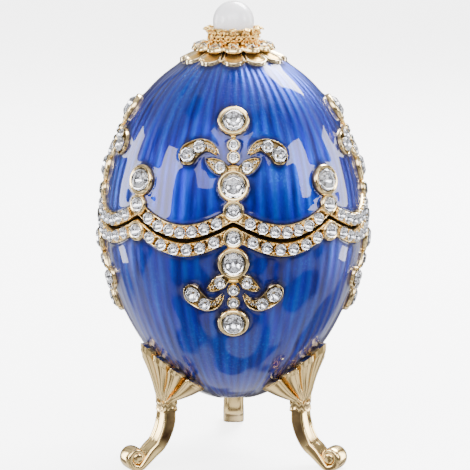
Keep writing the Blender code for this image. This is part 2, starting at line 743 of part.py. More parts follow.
def add_finial(parts, materials):
    hole = CUP_FOOT + FIT_GAP
    tier_base = egg_height(hole) + FIT_GAP + PETAL_LIFT + PETAL_THICKNESS + FIT_GAP + TIER_THICKNESS

    def petal_height(radius):
        return egg_height(radius) + FIT_GAP + PETAL_LIFT + PETAL_THICKNESS

    def tier_height(radius):
        return tier_base - TIER_DROOP * ((radius - hole) / (TIER_RADIUS - hole)) ** 2

    circles = (PETAL_BORE, PETAL_RADIUS)
    collar = lobed_ring("petal_collar", circles, PETAL_NOTCH, PETAL_COUNT, petal_height)
    circles = (hole, TIER_RADIUS)
    tier = lobed_ring("crystal_collar", circles, TIER_NOTCH, TIER_COUNT, tier_height)
    for mesh, thickness in ((collar, PETAL_THICKNESS), (tier, TIER_THICKNESS)):
        smooth(mesh)
        mesh.materials.append(materials["gold"])
        item = add_object(mesh.name, mesh, parts)
        solid = item.modifiers.new("thickness", "SOLIDIFY")
        solid.thickness = thickness
        solid.offset = -1.0
    pearl_height = EGG_TOP + FIT_GAP + CUP_FLOOR + FIT_GAP + PEARL_RADIUS
    add_cup(parts, materials["gold"], pearl_height, tier_base)
    builder = bmesh.new()
    bmesh.ops.create_uvsphere(builder, u_segments=PEARL_SEGMENTS, v_segments=PEARL_RINGS,
                              radius=PEARL_RADIUS)
    pearl = bpy.data.meshes.new("pearl")
    builder.to_mesh(pearl)
    builder.free()
    smooth(pearl, 60.0)
    pearl.materials.append(materials["pearl"])
    add_object("pearl", pearl, parts, Matrix.Translation((0.0, 0.0, pearl_height)))


def add_cup(parts, material, pearl_height, tier_top):
    """Cup with a narrow foot, a round body and a rim of leaf tips that hold the pearl."""
    seat = PEARL_RADIUS + FIT_GAP
    rim = pearl_height - PEARL_RADIUS + PEARL_SEAT
    foot = EGG_TOP + FIT_GAP
    shoulder = tier_top + FIT_GAP
    profile = [(math.sqrt(seat ** 2 - (rim - pearl_height) ** 2), rim)]
    profile.append((CUP_FLARE, rim))
    profile.append((CUP_RADIUS, (rim + shoulder) / 2.0))
    profile.append((CUP_RADIUS, shoulder))
    profile.append((CUP_FOOT, shoulder))
    profile.append((CUP_FOOT, foot))
    profile.append((0.0, foot))
    inside = [(0.0, pearl_height - seat)]
    for row in range(1, CUP_ROWS + 1):
        angle = row / (CUP_ROWS + 1) * math.acos((pearl_height - rim) / seat)
        inside.append((seat * math.sin(angle), pearl_height - seat * math.cos(angle)))
    mesh = turned_mesh("filigree_cup", inside + profile, CUP_LEAVES * 2)
    points = mesh_points(mesh)
    azimuth = np.arctan2(points[:, 0], -points[:, 1])
    high = points[:, 2] > rim - MERGE
    points[:, 2] -= np.where(high, CUP_LEAF_DIP * np.abs(np.sin(azimuth * CUP_LEAVES / 2.0)), 0.0)
    set_mesh_points(mesh, points)
    smooth(mesh)
    mesh.materials.append(material)
    add_object("filigree_cup", mesh, parts)


def egg_height(radius):
    """Height of the upper egg at a radius."""
    share = (1.0 - (radius / EGG_RADIUS) ** 2) ** (1.0 / TOP_POWER)
    return EGG_EQUATOR + (EGG_TOP - EGG_EQUATOR) * share


def main():
    clear_scene()
    parts = new_collection("jewelled_egg_trinket_box")
    cutters = new_collection("cutters")
    materials = {
        "enamel": new_material("blue_enamel", (0.01, 0.04, 0.42), 0.0, 0.08),
        "gold": new_material("pale_gold", (0.86, 0.68, 0.36), 1.0, 0.18),
        "crystal": new_material("clear_crystal", (0.95, 0.96, 1.0), 0.0, 0.03, 0.9),
        "pearl": new_material("pearl", (0.9, 0.88, 0.87), 0.0, 0.2),
    }
    add_shell("lid", lid_profile(), 1.0, parts, materials["enamel"])
    add_shell("bowl", bowl_profile(), -1.0, parts, materials["enamel"])
    add_stones(parts, materials["crystal"])
    add_legs(parts, cutters, materials["gold"])
    add_finial(parts, materials)
    bpy.context.view_layer.update()


main()
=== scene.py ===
import math
import bpy
import numpy as np
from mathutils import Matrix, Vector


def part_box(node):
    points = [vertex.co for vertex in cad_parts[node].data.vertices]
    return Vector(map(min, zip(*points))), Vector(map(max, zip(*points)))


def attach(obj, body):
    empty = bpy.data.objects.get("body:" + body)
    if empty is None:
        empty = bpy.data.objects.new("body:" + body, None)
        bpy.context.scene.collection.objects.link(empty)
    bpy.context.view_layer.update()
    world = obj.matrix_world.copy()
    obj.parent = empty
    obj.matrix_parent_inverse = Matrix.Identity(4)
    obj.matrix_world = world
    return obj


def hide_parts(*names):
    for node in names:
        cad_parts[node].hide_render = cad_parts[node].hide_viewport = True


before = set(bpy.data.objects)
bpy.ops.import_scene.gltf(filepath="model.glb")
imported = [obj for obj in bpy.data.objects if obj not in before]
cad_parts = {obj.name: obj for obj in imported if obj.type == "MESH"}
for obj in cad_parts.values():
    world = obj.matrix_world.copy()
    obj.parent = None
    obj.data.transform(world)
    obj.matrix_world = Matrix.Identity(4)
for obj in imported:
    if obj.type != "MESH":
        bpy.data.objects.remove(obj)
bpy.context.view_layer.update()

mm = 0.001
fullTurn = 2 * math.pi

# Jewelled egg trinket box: blue enamel over ribbed metal, pale gold castings, clear crystals.
# Azimuths are measured from the front, which faces -Y, towards +X.

egg = {
    "radius": 25.75 * mm,
    "equator": 45.9 * mm,
    "top": 82.5 * mm,
    "bottom": 12.0 * mm,
    "topPower": 2.22,
    "bottomPower": 1.67,
    "wall": 1.6 * mm,
}

seam = {
    "low": 48.6 * mm,
    "rise": 3.4 * mm,
    "rounding": 0.05,
    "swags": 8,
    "held": 4.0 * mm,  # levels this near the seam follow its whole wave
    "faded": 15.0 * mm,  # and levels this far from it follow none of it
    "bandCentre": 1.65 * mm,
}


def eggRadius(height):
    # radius = R * sqrt(1 - share ** power), where share is the way from the equator to the pole
    height = np.asarray(height, float)
    upper = height > egg["equator"]
    reach = np.where(upper, egg["top"] - egg["equator"], egg["equator"] - egg["bottom"])
    power = np.where(upper, egg["topPower"], egg["bottomPower"])
    share = np.clip(np.abs(height - egg["equator"]) / reach, 0, 1)
    return egg["radius"] * np.sqrt(1 - share ** power)


def eggHeight(radius):
    # the same formula turned round, for the upper half
    share = (1 - (np.asarray(radius, float) / egg["radius"]) ** 2) ** (1 / egg["topPower"])
    return egg["equator"] + (egg["top"] - egg["equator"]) * share


def eggNormal(height):
    # outward and upward parts of the normal, from the slope of the profile
    step = 0.02 * mm
    slope = (eggRadius(height + step) - eggRadius(height - step)) / (2 * step)
    length = np.hypot(1, slope)
    return 1 / length, -slope / length


def around(radius, azimuth, height):
    # points from a radius, an azimuth and a height
    return np.stack(np.broadcast_arrays(radius * np.sin(azimuth), -radius * np.cos(azimuth), height), -1)


def evenly(count, phase=0.0):
    # azimuths spaced evenly round the whole turn
    return (np.arange(count) + phase) * fullTurn / count


def onEgg(azimuth, height, lift=0.0):
    # points that stand off the egg by a lift along its normal
    azimuth, height, lift = np.broadcast_arrays(azimuth, height, lift)
    out, up = eggNormal(height)
    return around(eggRadius(height) + lift * out, azimuth, height + lift * up)


def facing(origins, azimuth, normal):
    # frames whose columns point level across the box, along it and out by the normal
    across = np.stack((np.cos(azimuth), np.sin(azimuth), 0 * azimuth), -1)
    return origins, np.stack((across, np.cross(normal, across), normal), -1)


def eggFrames(azimuth, height, lift=0.0):
    # origins, and axes whose columns point across the egg, up it and out of it
    azimuth, height, lift = np.broadcast_arrays(*np.atleast_1d(azimuth, height, lift))
    out, up = eggNormal(height)
    return facing(onEgg(azimuth, height, lift), azimuth, around(out, azimuth, up))


def seamHeight(azimuth):
    # swags: one minus |sin(4a)|, with the crests slightly rounded
    soft = seam["rounding"]
    swag = np.sqrt(np.sin(azimuth * seam["swags"] / 2) ** 2 + soft ** 2) - soft
    return seam["low"] + seam["rise"] * (1 - swag / (math.hypot(1, soft) - soft))


def waved(azimuth, level):
    # a level lifted along the seam's wave, less and less away from the seam
    away = np.abs(level - seam["low"])
    share = np.clip((seam["faded"] - away) / (seam["faded"] - seam["held"]), 0, 1)
    return level + (seamHeight(azimuth) - seam["low"]) * share


crest = seam["low"] + seam["rise"]


# Mesh tools: a patch is (points, quads, triangles)

def grid(points, loopDown=False):
    # quads between the rows of a (rows, columns, 3) array whose columns close round
    rows, columns = points.shape[:2]
    index = np.arange(rows * columns).reshape(rows, columns)
    index = np.concatenate((index, index[:, :1]), 1)
    if loopDown:
        index = np.concatenate((index, index[:1]), 0)
    quads = np.stack((index[:-1, :-1], index[:-1, 1:], index[1:, 1:], index[1:, :-1]), -1)
    return points.reshape(-1, 3), quads.reshape(-1, 4), np.empty((0, 3), int)


def outward(patch):
    # turns the faces over where the volume that they enclose comes out negative
    points, quads, triangles = patch
    corners = np.concatenate((quads[:, :3], quads[:, [0, 2, 3]], triangles))
    first, second, third = (points[corners[:, k]] for k in range(3))
    if np.einsum("ij,ij->", first, np.cross(second, third)) < 0:
        quads, triangles = quads[:, ::-1], triangles[:, ::-1]
    return points, quads, triangles


def tube(points):
    # a grid with each end row closed by a fan to its middle
    rows, columns = points.shape[:2]
    vertices, quads, _ = grid(points)
    first = np.arange(columns)
    last = first + (rows - 1) * columns
    middle = np.full(columns, rows * columns)
    vertices = np.concatenate((vertices, points[:1].mean(1), points[-1:].mean(1)))
    startFan = np.stack((np.roll(first, -1), first, middle), -1)
    endFan = np.stack((last, np.roll(last, -1), middle + 1), -1)
    return outward((vertices, quads, np.concatenate((startFan, endFan))))


def ring(points):
    # a grid closed both ways
    return outward(grid(points, True))


def turned(profile, segments):
    # a profile of (radius, height) carried round Z
    profile = np.asarray(profile, float)
    angle = evenly(segments)
    radius = profile[:, :1]
    height = np.broadcast_to(profile[:, 1:], (len(profile), segments))
    return np.stack((radius * np.cos(angle), radius * np.sin(angle), height), -1)


def smoothPath(points, steps):
    # Catmull-Rom curve through the points, with as many steps between each two
    points = np.asarray(points, float)
    padded = np.concatenate((2 * points[:1] - points[1:2], points, 2 * points[-1:] - points[-2:-1]))
    t = (np.arange(steps) / steps)[:, None]
    parts = []
    for a, b, c, d in zip(padded[:-3], padded[1:-2], padded[2:-1], padded[3:]):
        cubic = (3 * b - a - 3 * c + d) * t ** 3
        parts.append(0.5 * (2 * b + (c - a) * t + (2 * a - 5 * b + 4 * c - d) * t ** 2 + cubic))
    return np.concatenate(parts + [points[-1:]])


def repeated(patch, frames):
    # one copy of the patch in each frame
    points, quads, triangles = patch
    origins, axes = frames
    placed = origins[:, None] + np.einsum("kij,nj->kni", axes, points)
    shift = (np.arange(len(origins)) * len(points))[:, None, None]
    return placed.reshape(-1, 3), (quads + shift).reshape(-1, 4), (triangles + shift).reshape(-1, 3)


def directions(spine):
    # unit steps along a line of points
    step = np.gradient(spine, axis=0)
    return step / np.linalg.norm(step, axis=1)[:, None]


def pieceNamed(nodeName):
    words = nodeName.split("_")
    return words[0] + "".join(word.capitalize() for word in words[1:])


def joined(patches):
    # several patches made one
    points, quads, triangles = zip(*patches)
    shifts = np.cumsum([0] + [len(part) for part in points])
    quads = np.concatenate([part + shift for part, shift in zip(quads, shifts)])
    triangles = np.concatenate([part + shift for part, shift in zip(triangles, shifts)])
    return np.concatenate(points), quads, triangles


def aroundZ(patch, azimuth):
    points, quads, triangles = patch
    sine, cosine = math.sin(azimuth), math.cos(azimuth)
    spin = np.array(((cosine, -sine, 0), (sine, cosine, 0), (0, 0, 1)))
    return points @ spin.T, quads, triangles


def smoothStep(low, high, value):
    share = np.clip((value - low) / (high - low), 0, 1)
    return share * share * (3 - 2 * share)


def squared(value, power):
    # fills a sine or cosine out, so that a round section turns squarer
    return np.sign(value) * np.abs(value) ** power


def added(name, data):
    made = bpy.data.objects.new(name, data)
    bpy.context.scene.collection.objects.link(made)
    return made


def makePiece(name, patch, material, nodes=(), sharp=None, marks=None):
    # puts a patch into a mesh object that rides on the box; marks are values kept at its points
    points, quads, triangles = patch
    mesh = bpy.data.meshes.new(name)
    mesh.vertices.add(len(points))
    mesh.vertices.foreach_set("co", points.astype(np.float32).ravel())
    corners = np.concatenate((quads.ravel(), triangles.ravel())).astype(np.int32)
    mesh.loops.add(len(corners))
    mesh.loops.foreach_set("vertex_index", corners)
    starts = np.concatenate((np.arange(len(quads)) * 4, len(quads) * 4 + np.arange(len(triangles)) * 3))
    mesh.polygons.add(len(starts))
    mesh.polygons.foreach_set("loop_start", starts.astype(np.int32))
    mesh.update(calc_edges=True)
    if sharp is None:
        mesh.shade_smooth()
    elif sharp > 0:
        mesh.shade_smooth()
        mesh.set_sharp_from_angle(angle=math.radians(sharp))
    for label, values in (marks or {}).items():
        attribute = mesh.attributes.new(label, "FLOAT", "POINT")
        attribute.data.foreach_set("value", values.astype(np.float32))
    mesh.materials.append(material)
    piece = added(name, mesh)
    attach(piece, "root")
    if nodes:
        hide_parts(*nodes)


# Materials

def newMaterial(name):
    material = bpy.data.materials.new(name)
    material.use_nodes = True
    tree = material.node_tree
    return material, tree, tree.nodes["Principled BSDF"]


def link(tree, source, target):
    tree.links.new(source, target)


def node(tree, kind, **values):
    made = tree.nodes.new(kind)
    for key, value in values.items():
        setattr(made, key, value)
    return made


def feed(tree, socket, value):
    # a plain number, a colour or the output of another node
    if isinstance(value, (int, float)):
        socket.default_value = value
    elif isinstance(value, tuple):
        socket.default_value = (*value, 1)
    else:
        link(tree, value, socket)


def math2(tree, operation, first, second=None, clamp=False):
    made = node(tree, "ShaderNodeMath", operation=operation, use_clamp=clamp)
    feed(tree, made.inputs[0], first)
    if second is not None:
        feed(tree, made.inputs[1], second)
    return made.outputs[0]


def mixColour(tree, share, first, second):
    made = node(tree, "ShaderNodeMix", data_type="RGBA")
    for index, value in ((0, share), (6, first), (7, second)):
        feed(tree, made.inputs[index], value)
    return made.outputs[2]


def plain(made, values):
    # plain values on a node's own sockets
    for label, value in values.items():
        made.inputs[label].default_value = value


def placeOf(tree):
    return node(tree, "ShaderNodeTexCoord").outputs["Object"]


def mark(tree, name):
    # a value kept at the points of the mesh
    return node(tree, "ShaderNodeAttribute", attribute_name=name).outputs["Fac"]


def times(tree, first, second):
    return math2(tree, "MULTIPLY", first, second)


def noise(tree, vector, scale, detail=2.0, roughness=0.5):
    made = node(tree, "ShaderNodeTexNoise")
    plain(made, {"Scale": scale, "Detail": detail, "Roughness": roughness})
    link(tree, vector, made.inputs["Vector"])
    return made.outputs["Fac"]


def spread(tree, value, low, high, newLow=0.0, newHigh=1.0):
    made = node(tree, "ShaderNodeMapRange")
    plain(made, {"From Min": low, "From Max": high, "To Min": newLow, "To Max": newHigh})
    link(tree, value, made.inputs["Value"])
    return made.outputs["Result"]


def bumped(tree, shader, height, strength, distance):
    made = node(tree, "ShaderNodeBump")
    plain(made, {"Strength": strength, "Distance": distance})
    link(tree, height, made.inputs["Height"])
    link(tree, made.outputs["Normal"], shader.inputs["Normal"])


def newGroup(name, inputs, outputs):
    tree = bpy.data.node_groups.new(name, "ShaderNodeTree")
    for label, kind, value in inputs:
        socket = tree.interface.new_socket(label, in_out="INPUT", socket_type=kind)
        if value is not None:
            socket.default_value = value
    for label, kind in outputs:
        tree.interface.new_socket(label, in_out="OUTPUT", socket_type=kind)
    return tree, tree.nodes.new("NodeGroupInput"), tree.nodes.new("NodeGroupOutput")


def placeGroup(tree, group, values):
    made = node(tree, "ShaderNodeGroup", node_tree=group)
    plain(made, values)
    return made


def buildWearAndShadeGroup():
    # colour and roughness that drift a little, with painted shade darkening the recesses to a near-black
    # brown, and a fine grain
    tree, inside, outside = newGroup(
        "platingWearAndShade",
        (
            ("Metal", "NodeSocketColor", (0.8, 0.65, 0.4, 1)),
            ("Soot", "NodeSocketColor", (0.05, 0.025, 0.012, 1)),
            ("Gloss", "NodeSocketFloat", 0.15),
            ("Size", "NodeSocketFloat", 300.0),
        ),
        (("Colour", "NodeSocketColor"), ("Roughness", "NodeSocketFloat"), ("Height", "NodeSocketFloat")),
    )
    place = placeOf(tree)
    fine = node(tree, "ShaderNodeTexNoise")
    plain(fine, {"Detail": 4.0})
    link(tree, place, fine.inputs["Vector"])
    link(tree, inside.outputs["Size"], fine.inputs["Scale"])
    speckle = fine.outputs["Fac"]
    recess = mark(tree, "recess")
    drift = spread(tree, noise(tree, place, 180.0, 3.0), 0.35, 0.7, 0.0, 0.35)
    warm = mixColour(tree, drift, inside.outputs["Metal"], (0.78, 0.52, 0.24))
    # painted shade: the recess mark, broken by the grain, mixes the metal towards the dark shade colour
    shadeMask = math2(tree, "MULTIPLY", recess, spread(tree, speckle, 0.2, 0.7, 0.7, 1.0), clamp=True)
    link(tree, mixColour(tree, shadeMask, warm, inside.outputs["Soot"]), outside.inputs["Colour"])
    rough = math2(tree, "ADD", inside.outputs["Gloss"], spread(tree, speckle, 0.3, 0.8, 0.0, 0.12))
    rough = math2(tree, "ADD", rough, times(tree, recess, 0.25))
    link(tree, rough, outside.inputs["Roughness"])
    link(tree, speckle, outside.inputs["Height"])
    return tree


def goldMaterial(name, wearAndShade, metal, gloss, size, bump):
    material, tree, shader = newMaterial(name)
    wornAndShaded = placeGroup(tree, wearAndShade, {"Metal": (*metal, 1), "Gloss": gloss, "Size": size})
    link(tree, wornAndShaded.outputs["Colour"], shader.inputs["Base Color"])
    link(tree, wornAndShaded.outputs["Roughness"], shader.inputs["Roughness"])
    plain(shader, {"Metallic": 1.0})
    bumped(tree, shader, wornAndShaded.outputs["Height"], bump, 0.05 * mm)
    return material


def petalMaterial(name, wearAndShade):
    # polished rim round a matte golden dish, told apart by the satin value of the mesh
    material, tree, shader = newMaterial(name)
    wornAndShaded = placeGroup(tree, wearAndShade, {"Metal": (0.98, 0.82, 0.52, 1), "Gloss": 0.14, "Size": 500.0})
    satin = mark(tree, "satin")
    grain = noise(tree, placeOf(tree), 3500.0)
    golden = mixColour(tree, spread(tree, grain, 0.35, 0.65), (0.85, 0.50, 0.10), (0.97, 0.70, 0.25))
    link(tree, mixColour(tree, satin, wornAndShaded.outputs["Colour"], golden), shader.inputs["Base Color"])
    rough = math2(tree, "ADD", wornAndShaded.outputs["Roughness"], times(tree, satin, 0.22))
    link(tree, rough, shader.inputs["Roughness"])
    plain(shader, {"Metallic": 1.0})
    bumped(tree, shader, times(tree, grain, satin), 0.5, 0.04 * mm)
    return material


enamelLook = {
    "deep": (0.0, 0.0006, 0.11),
    "bright": (0.0, 0.009, 0.40),
    "shimmer": (0.0, 0.13, 0.60),
    # colour of the painted shade against the castings
    "halo": (0.0, 0.0001, 0.012),
    "ribs": 64.0,
    "ribDepth": 0.10 * mm,
    "surface": {"Metallic": 0.85, "Roughness": 0.38, "Coat Weight": 1.0, "Coat Roughness": 0.015,
                "Coat IOR": 1.42},
}


def buildRibGroup():
    # ribs are a sine of the azimuth; streaks are noise drawn out along the meridians
    tree, inside, outside = newGroup(
        "ribbedGround",
        (("Ribs", "NodeSocketFloat", 64.0),),
        (("Rib", "NodeSocketFloat"), ("Streak", "NodeSocketFloat"), ("Fleck", "NodeSocketFloat"),
         ("Cloud", "NodeSocketFloat")),
    )
    place = placeOf(tree)
    apart = node(tree, "ShaderNodeSeparateXYZ")
    link(tree, place, apart.inputs[0])
    azimuth = math2(tree, "ARCTAN2", apart.outputs["X"], times(tree, apart.outputs["Y"], -1.0))
    rib = math2(tree, "SINE", times(tree, azimuth, inside.outputs["Ribs"]))
    link(tree, spread(tree, rib, -1.0, 1.0), outside.inputs["Rib"])
    drawn = node(tree, "ShaderNodeCombineXYZ")
    link(tree, times(tree, math2(tree, "SINE", azimuth), 7.0), drawn.inputs["X"])
    link(tree, times(tree, math2(tree, "COSINE", azimuth), 7.0), drawn.inputs["Y"])
    link(tree, times(tree, apart.outputs["Z"], 45.0), drawn.inputs["Z"])
    streak = noise(tree, drawn.outputs[0], 1.6, 3.0, 0.6)
    link(tree, spread(tree, streak, 0.36, 0.66), outside.inputs["Streak"])
    fleck = node(tree, "ShaderNodeTexVoronoi")
    plain(fleck, {"Scale": 2600.0})
    link(tree, place, fleck.inputs["Vector"])
    link(tree, fleck.outputs["Color"], outside.inputs["Fleck"])
    cloud = noise(tree, place, 70.0)
    link(tree, spread(tree, cloud, 0.42, 0.66), outside.inputs["Cloud"])
    return tree


def enamelMaterial(name):
    # ribs under streaks, flecks and drifting clouds of shimmer, with painted shade darkening it against the
    # castings
    look = enamelLook
    material, tree, shader = newMaterial(name)
    ribs = placeGroup(tree, buildRibGroup(), {"Ribs": look["ribs"]})
    rib, streak, fleck, cloud = (ribs.outputs[label] for label in ("Rib", "Streak", "Fleck", "Cloud"))
    halo = mark(tree, "halo")
    ground = mixColour(tree, streak, look["deep"], look["bright"])
    ridge = times(tree, math2(tree, "POWER", rib, 1.6), 0.55)
    ground = mixColour(tree, ridge, ground, look["bright"])
    sparkle = times(tree, times(tree, spread(tree, fleck, 0.62, 0.95), cloud), streak)
    shining = times(tree, times(tree, ridge, streak), 0.75)
    glow = math2(tree, "ADD", times(tree, sparkle, 0.7), times(tree, cloud, 0.12))
    glow = math2(tree, "ADD", glow, shining, clamp=True)
    ground = mixColour(tree, glow, ground, look["shimmer"])
    # painted shade: the enamel turns near black close to the castings
    ground = mixColour(tree, times(tree, halo, 0.8), ground, look["halo"])
    link(tree, ground, shader.inputs["Base Color"])
    plain(shader, look["surface"])
    calm = math2(tree, "SUBTRACT", 1.0, halo)
    height = math2(tree, "ADD", times(tree, rib, calm), times(tree, fleck, 0.25))
    bumped(tree, shader, height, 1.0, look["ribDepth"])
    return material


def crystalMaterial(name):
    material, tree, shader = newMaterial(name)
    tint = spread(tree, noise(tree, placeOf(tree), 250.0, 1.0), 0.3, 0.7)
    link(tree, mixColour(tree, tint, (1.0, 1.0, 1.0), (0.94, 0.96, 1.0)), shader.inputs["Base Color"])
    plain(shader, {"Roughness": 0.0, "IOR": 1.62, "Transmission Weight": 1.0})
    return material


def foilMaterial(name):
    material, tree, shader = newMaterial(name)
    patchy = noise(tree, placeOf(tree), 900.0, 3.0)
    silver = mixColour(tree, spread(tree, patchy, 0.35, 0.65), (0.97, 0.97, 0.98), (0.80, 0.81, 0.84))
    link(tree, silver, shader.inputs["Base Color"])
    link(tree, spread(tree, patchy, 0.3, 0.7, 0.05, 0.22), shader.inputs["Roughness"])
    plain(shader, {"Metallic": 1.0})
    return material


def pearlMaterial(name):
    material, tree, shader = newMaterial(name)
    drift = noise(tree, placeOf(tree), 120.0)
    lustre = mixColour(tree, spread(tree, drift, 0.35, 0.65), (0.95, 0.94, 0.96), (0.90, 0.885, 0.93))
    link(tree, lustre, shader.inputs["Base Color"])
    link(tree, spread(tree, drift, 0.3, 0.7, 0.26, 0.34), shader.inputs["Roughness"])
    plain(shader, {"Coat Weight": 0.7, "Coat Roughness": 0.12, "Subsurface Weight": 0.25,
                   "Subsurface Radius": (1.0, 0.9, 0.9), "Subsurface Scale": 1.0 * mm, "Sheen Weight": 0.25})
    return material


wearAndShadeGroup = buildWearAndShadeGroup()
paleGold = goldMaterial("polishedPaleGold", wearAndShadeGroup, (0.98, 0.76, 0.38), 0.10, 260.0, 0.12)
legGold = goldMaterial("castChampagneGold", wearAndShadeGroup, (0.99, 0.73, 0.32), 0.13, 220.0, 0.15)
grainGold = goldMaterial("granulatedGold", wearAndShadeGroup, (0.97, 0.66, 0.20), 0.18, 900.0, 0.45)
petalGold = petalMaterial("satinPetalGold", wearAndShadeGroup)
enamel = enamelMaterial("cobaltEnamel")
crystal = crystalMaterial("clearCrystal")
foil = foilMaterial("silverFoil")
nacre = pearlMaterial("pearlNacre")
print("materials ready")


# Stones

stoneCut = {
    "table": 0.58,
    "star": 0.80,
    "lower": 0.42,
    "girdle": 0.02,
}


# each stone with its setting: the level of its girdle, and the width and height of the metal round it
largeStone = {
    "diameter": 4.6 * mm, "crown": 0.80 * mm, "pavilion": 1.55 * mm, "girdle": 0.92 * mm, "sides": 8,
    "rim": 0.70 * mm, "lip": 0.95 * mm, "rimSides": 48, "foilSides": 16,
}
mediumStone = {
    "diameter": 2.9 * mm, "crown": 0.62 * mm, "pavilion": 1.15 * mm, "girdle": 0.85 * mm, "sides": 8,
    "rim": 0.55 * mm, "lip": 0.88 * mm, "rimSides": 48, "foilSides": 16,
}
smallStone = {
    "diameter": 2.1 * mm, "crown": 0.42 * mm, "pavilion": 0.80 * mm, "girdle": 0.72 * mm, "sides": 6,
    "rim": 0.16 * mm, "lip": 0.72 * mm, "rimSides": 24, "foilSides": 12,
}
tierStone = {
    "diameter": 2.0 * mm, "crown": 0.40 * mm, "pavilion": 0.45 * mm, "girdle": 0.62 * mm, "sides": 6,
    "rim": 0.18 * mm, "lip": 0.66 * mm, "rimSides": 24,
}


def brilliantPatch(stone):
    # table, stars, kites and girdle facets above; lower girdle facets and mains below
    cut, sides, half = stoneCut, stone["sides"], stone["diameter"] / 2
    crown, pavilion, base = stone["crown"], stone["pavilion"], stone["girdle"]
    whole, between, edge = evenly(sides), evenly(sides, 0.5), evenly(2 * sides)
    lean = math.cos(math.pi / sides)
    starHeight = crown * (1 - cut["star"] * lean) / (1 - cut["table"])
    lowHeight = -pavilion * (1 - cut["lower"] * lean)
    thick = cut["girdle"] * stone["diameter"]

    def circle(angle, radius, height):
        return np.stack((radius * half * np.cos(angle), radius * half * np.sin(angle),
                         np.full(len(angle), base + height)), -1)

    points = np.concatenate((
        circle(whole, cut["table"], crown),
        circle(between, cut["star"], starHeight),
        circle(edge, 1.0, 0.0),
        circle(edge, 1.0, -thick),
        circle(between, cut["lower"], lowHeight - thick),
        np.array(((0, 0, base + crown), (0, 0, base - pavilion - thick))),
    ))
    i = np.arange(sides)
    after, before = (i + 1) % sides, (i - 1) % sides
    table, star = i, sides + i
    upper, under = 2 * sides + 2 * i, 4 * sides + 2 * i
    upperNext, underNext = upper + 1, under + 1
    upperAfter, underAfter = 2 * sides + 2 * after, 4 * sides + 2 * after
    low = 6 * sides + i
    top, culet = np.full(sides, 7 * sides), np.full(sides, 7 * sides + 1)
    triangles = np.concatenate((
        np.stack((top, table, table[after]), -1),
        np.stack((table, star, table[after]), -1),
        np.stack((star, upper, upperNext), -1),
        np.stack((star, upperNext, upperAfter), -1),
        np.stack((low, underNext, under), -1),
        np.stack((low, underAfter, underNext), -1),
    ))
    quads = np.concatenate((
        np.stack((table, star[before], upper, star), -1),
        np.stack((upper, under, underNext, upperNext), -1),
        np.stack((upperNext, underNext, underAfter, upperAfter), -1),
        np.stack((culet, low, under, low[before]), -1),
    ))
    return outward((points, quads, triangles))


# Round settings

bezelLook = {
    "overlap": 0.12 * mm,  # of the collar over the stone's edge
    "foot": -0.5 * mm,
    "foilGap": 0.05 * mm,
    "foilThickness": 0.08 * mm,
    "foilBore": 0.02 * mm,
}


def bezelPatch(stone):
    # a rounded collar that stands over the stone's girdle and falls steeply outside
    rim, lip, foot = stone["rim"], stone["lip"], bezelLook["foot"]
    inner, outer = stone["diameter"] / 2 - bezelLook["overlap"], stone["diameter"] / 2 + rim
    profile = smoothPath((
        (outer + 0.08 * mm, foot),
        (outer + 0.05 * mm, lip * 0.35),
        (outer - 0.03 * mm, lip * 0.72),
        (outer - rim * 0.30, lip * 0.97),
        (outer - rim * 0.58, lip),
        (inner + 0.06 * mm, lip * 0.86),
        (inner, lip * 0.70),
        (inner, foot),
    ), 3)
    # painted shade low on the outside and in the line between the collar and the stone
    low = 1 - smoothStep(0.02 * mm, 0.30 * mm, profile[:, 1])
    line = smoothStep(0.10 * mm, 0.0, profile[:, 0] - inner) * 0.8
    shadeLevel = np.clip(np.maximum(low, line), 0, 1)
    return ring(turned(profile, stone["rimSides"])), np.repeat(shadeLevel, stone["rimSides"])


def foilPatch(stone):
    # a thin cup just under the pavilion
    look, half, pavilion = bezelLook, stone["diameter"] / 2, stone["pavilion"]
    rim = stone["girdle"] - stone["diameter"] * stoneCut["girdle"] - look["foilGap"]
    profile = (
        (look["foilBore"], rim - pavilion),
        (half, rim),
        (half, rim - look["foilThickness"]),
        (look["foilBore"], rim - pavilion - look["foilThickness"]),
    )
    return tube(turned(profile, stone["foilSides"]))


# Where the settings stand, in height over the crest of the seam

mainColumns, allColumns = (0, 2, 4, 6), tuple(range(8))
crystalRows = (
    ("top", largeStone, 18.6 * mm, mainColumns),
    ("upper", largeStone, 7.05 * mm, allColumns),
    ("above_seam", mediumStone, 2.5 * mm, allColumns),
    ("below_seam", mediumStone, -2.5 * mm, allColumns),
    ("lower", largeStone, -7.25 * mm, mainColumns),
    ("bottom", largeStone, -19.25 * mm, mainColumns),
)
columnNames = ("front", "front_right", "right", "back_right", "back", "back_left", "left", "front_left")

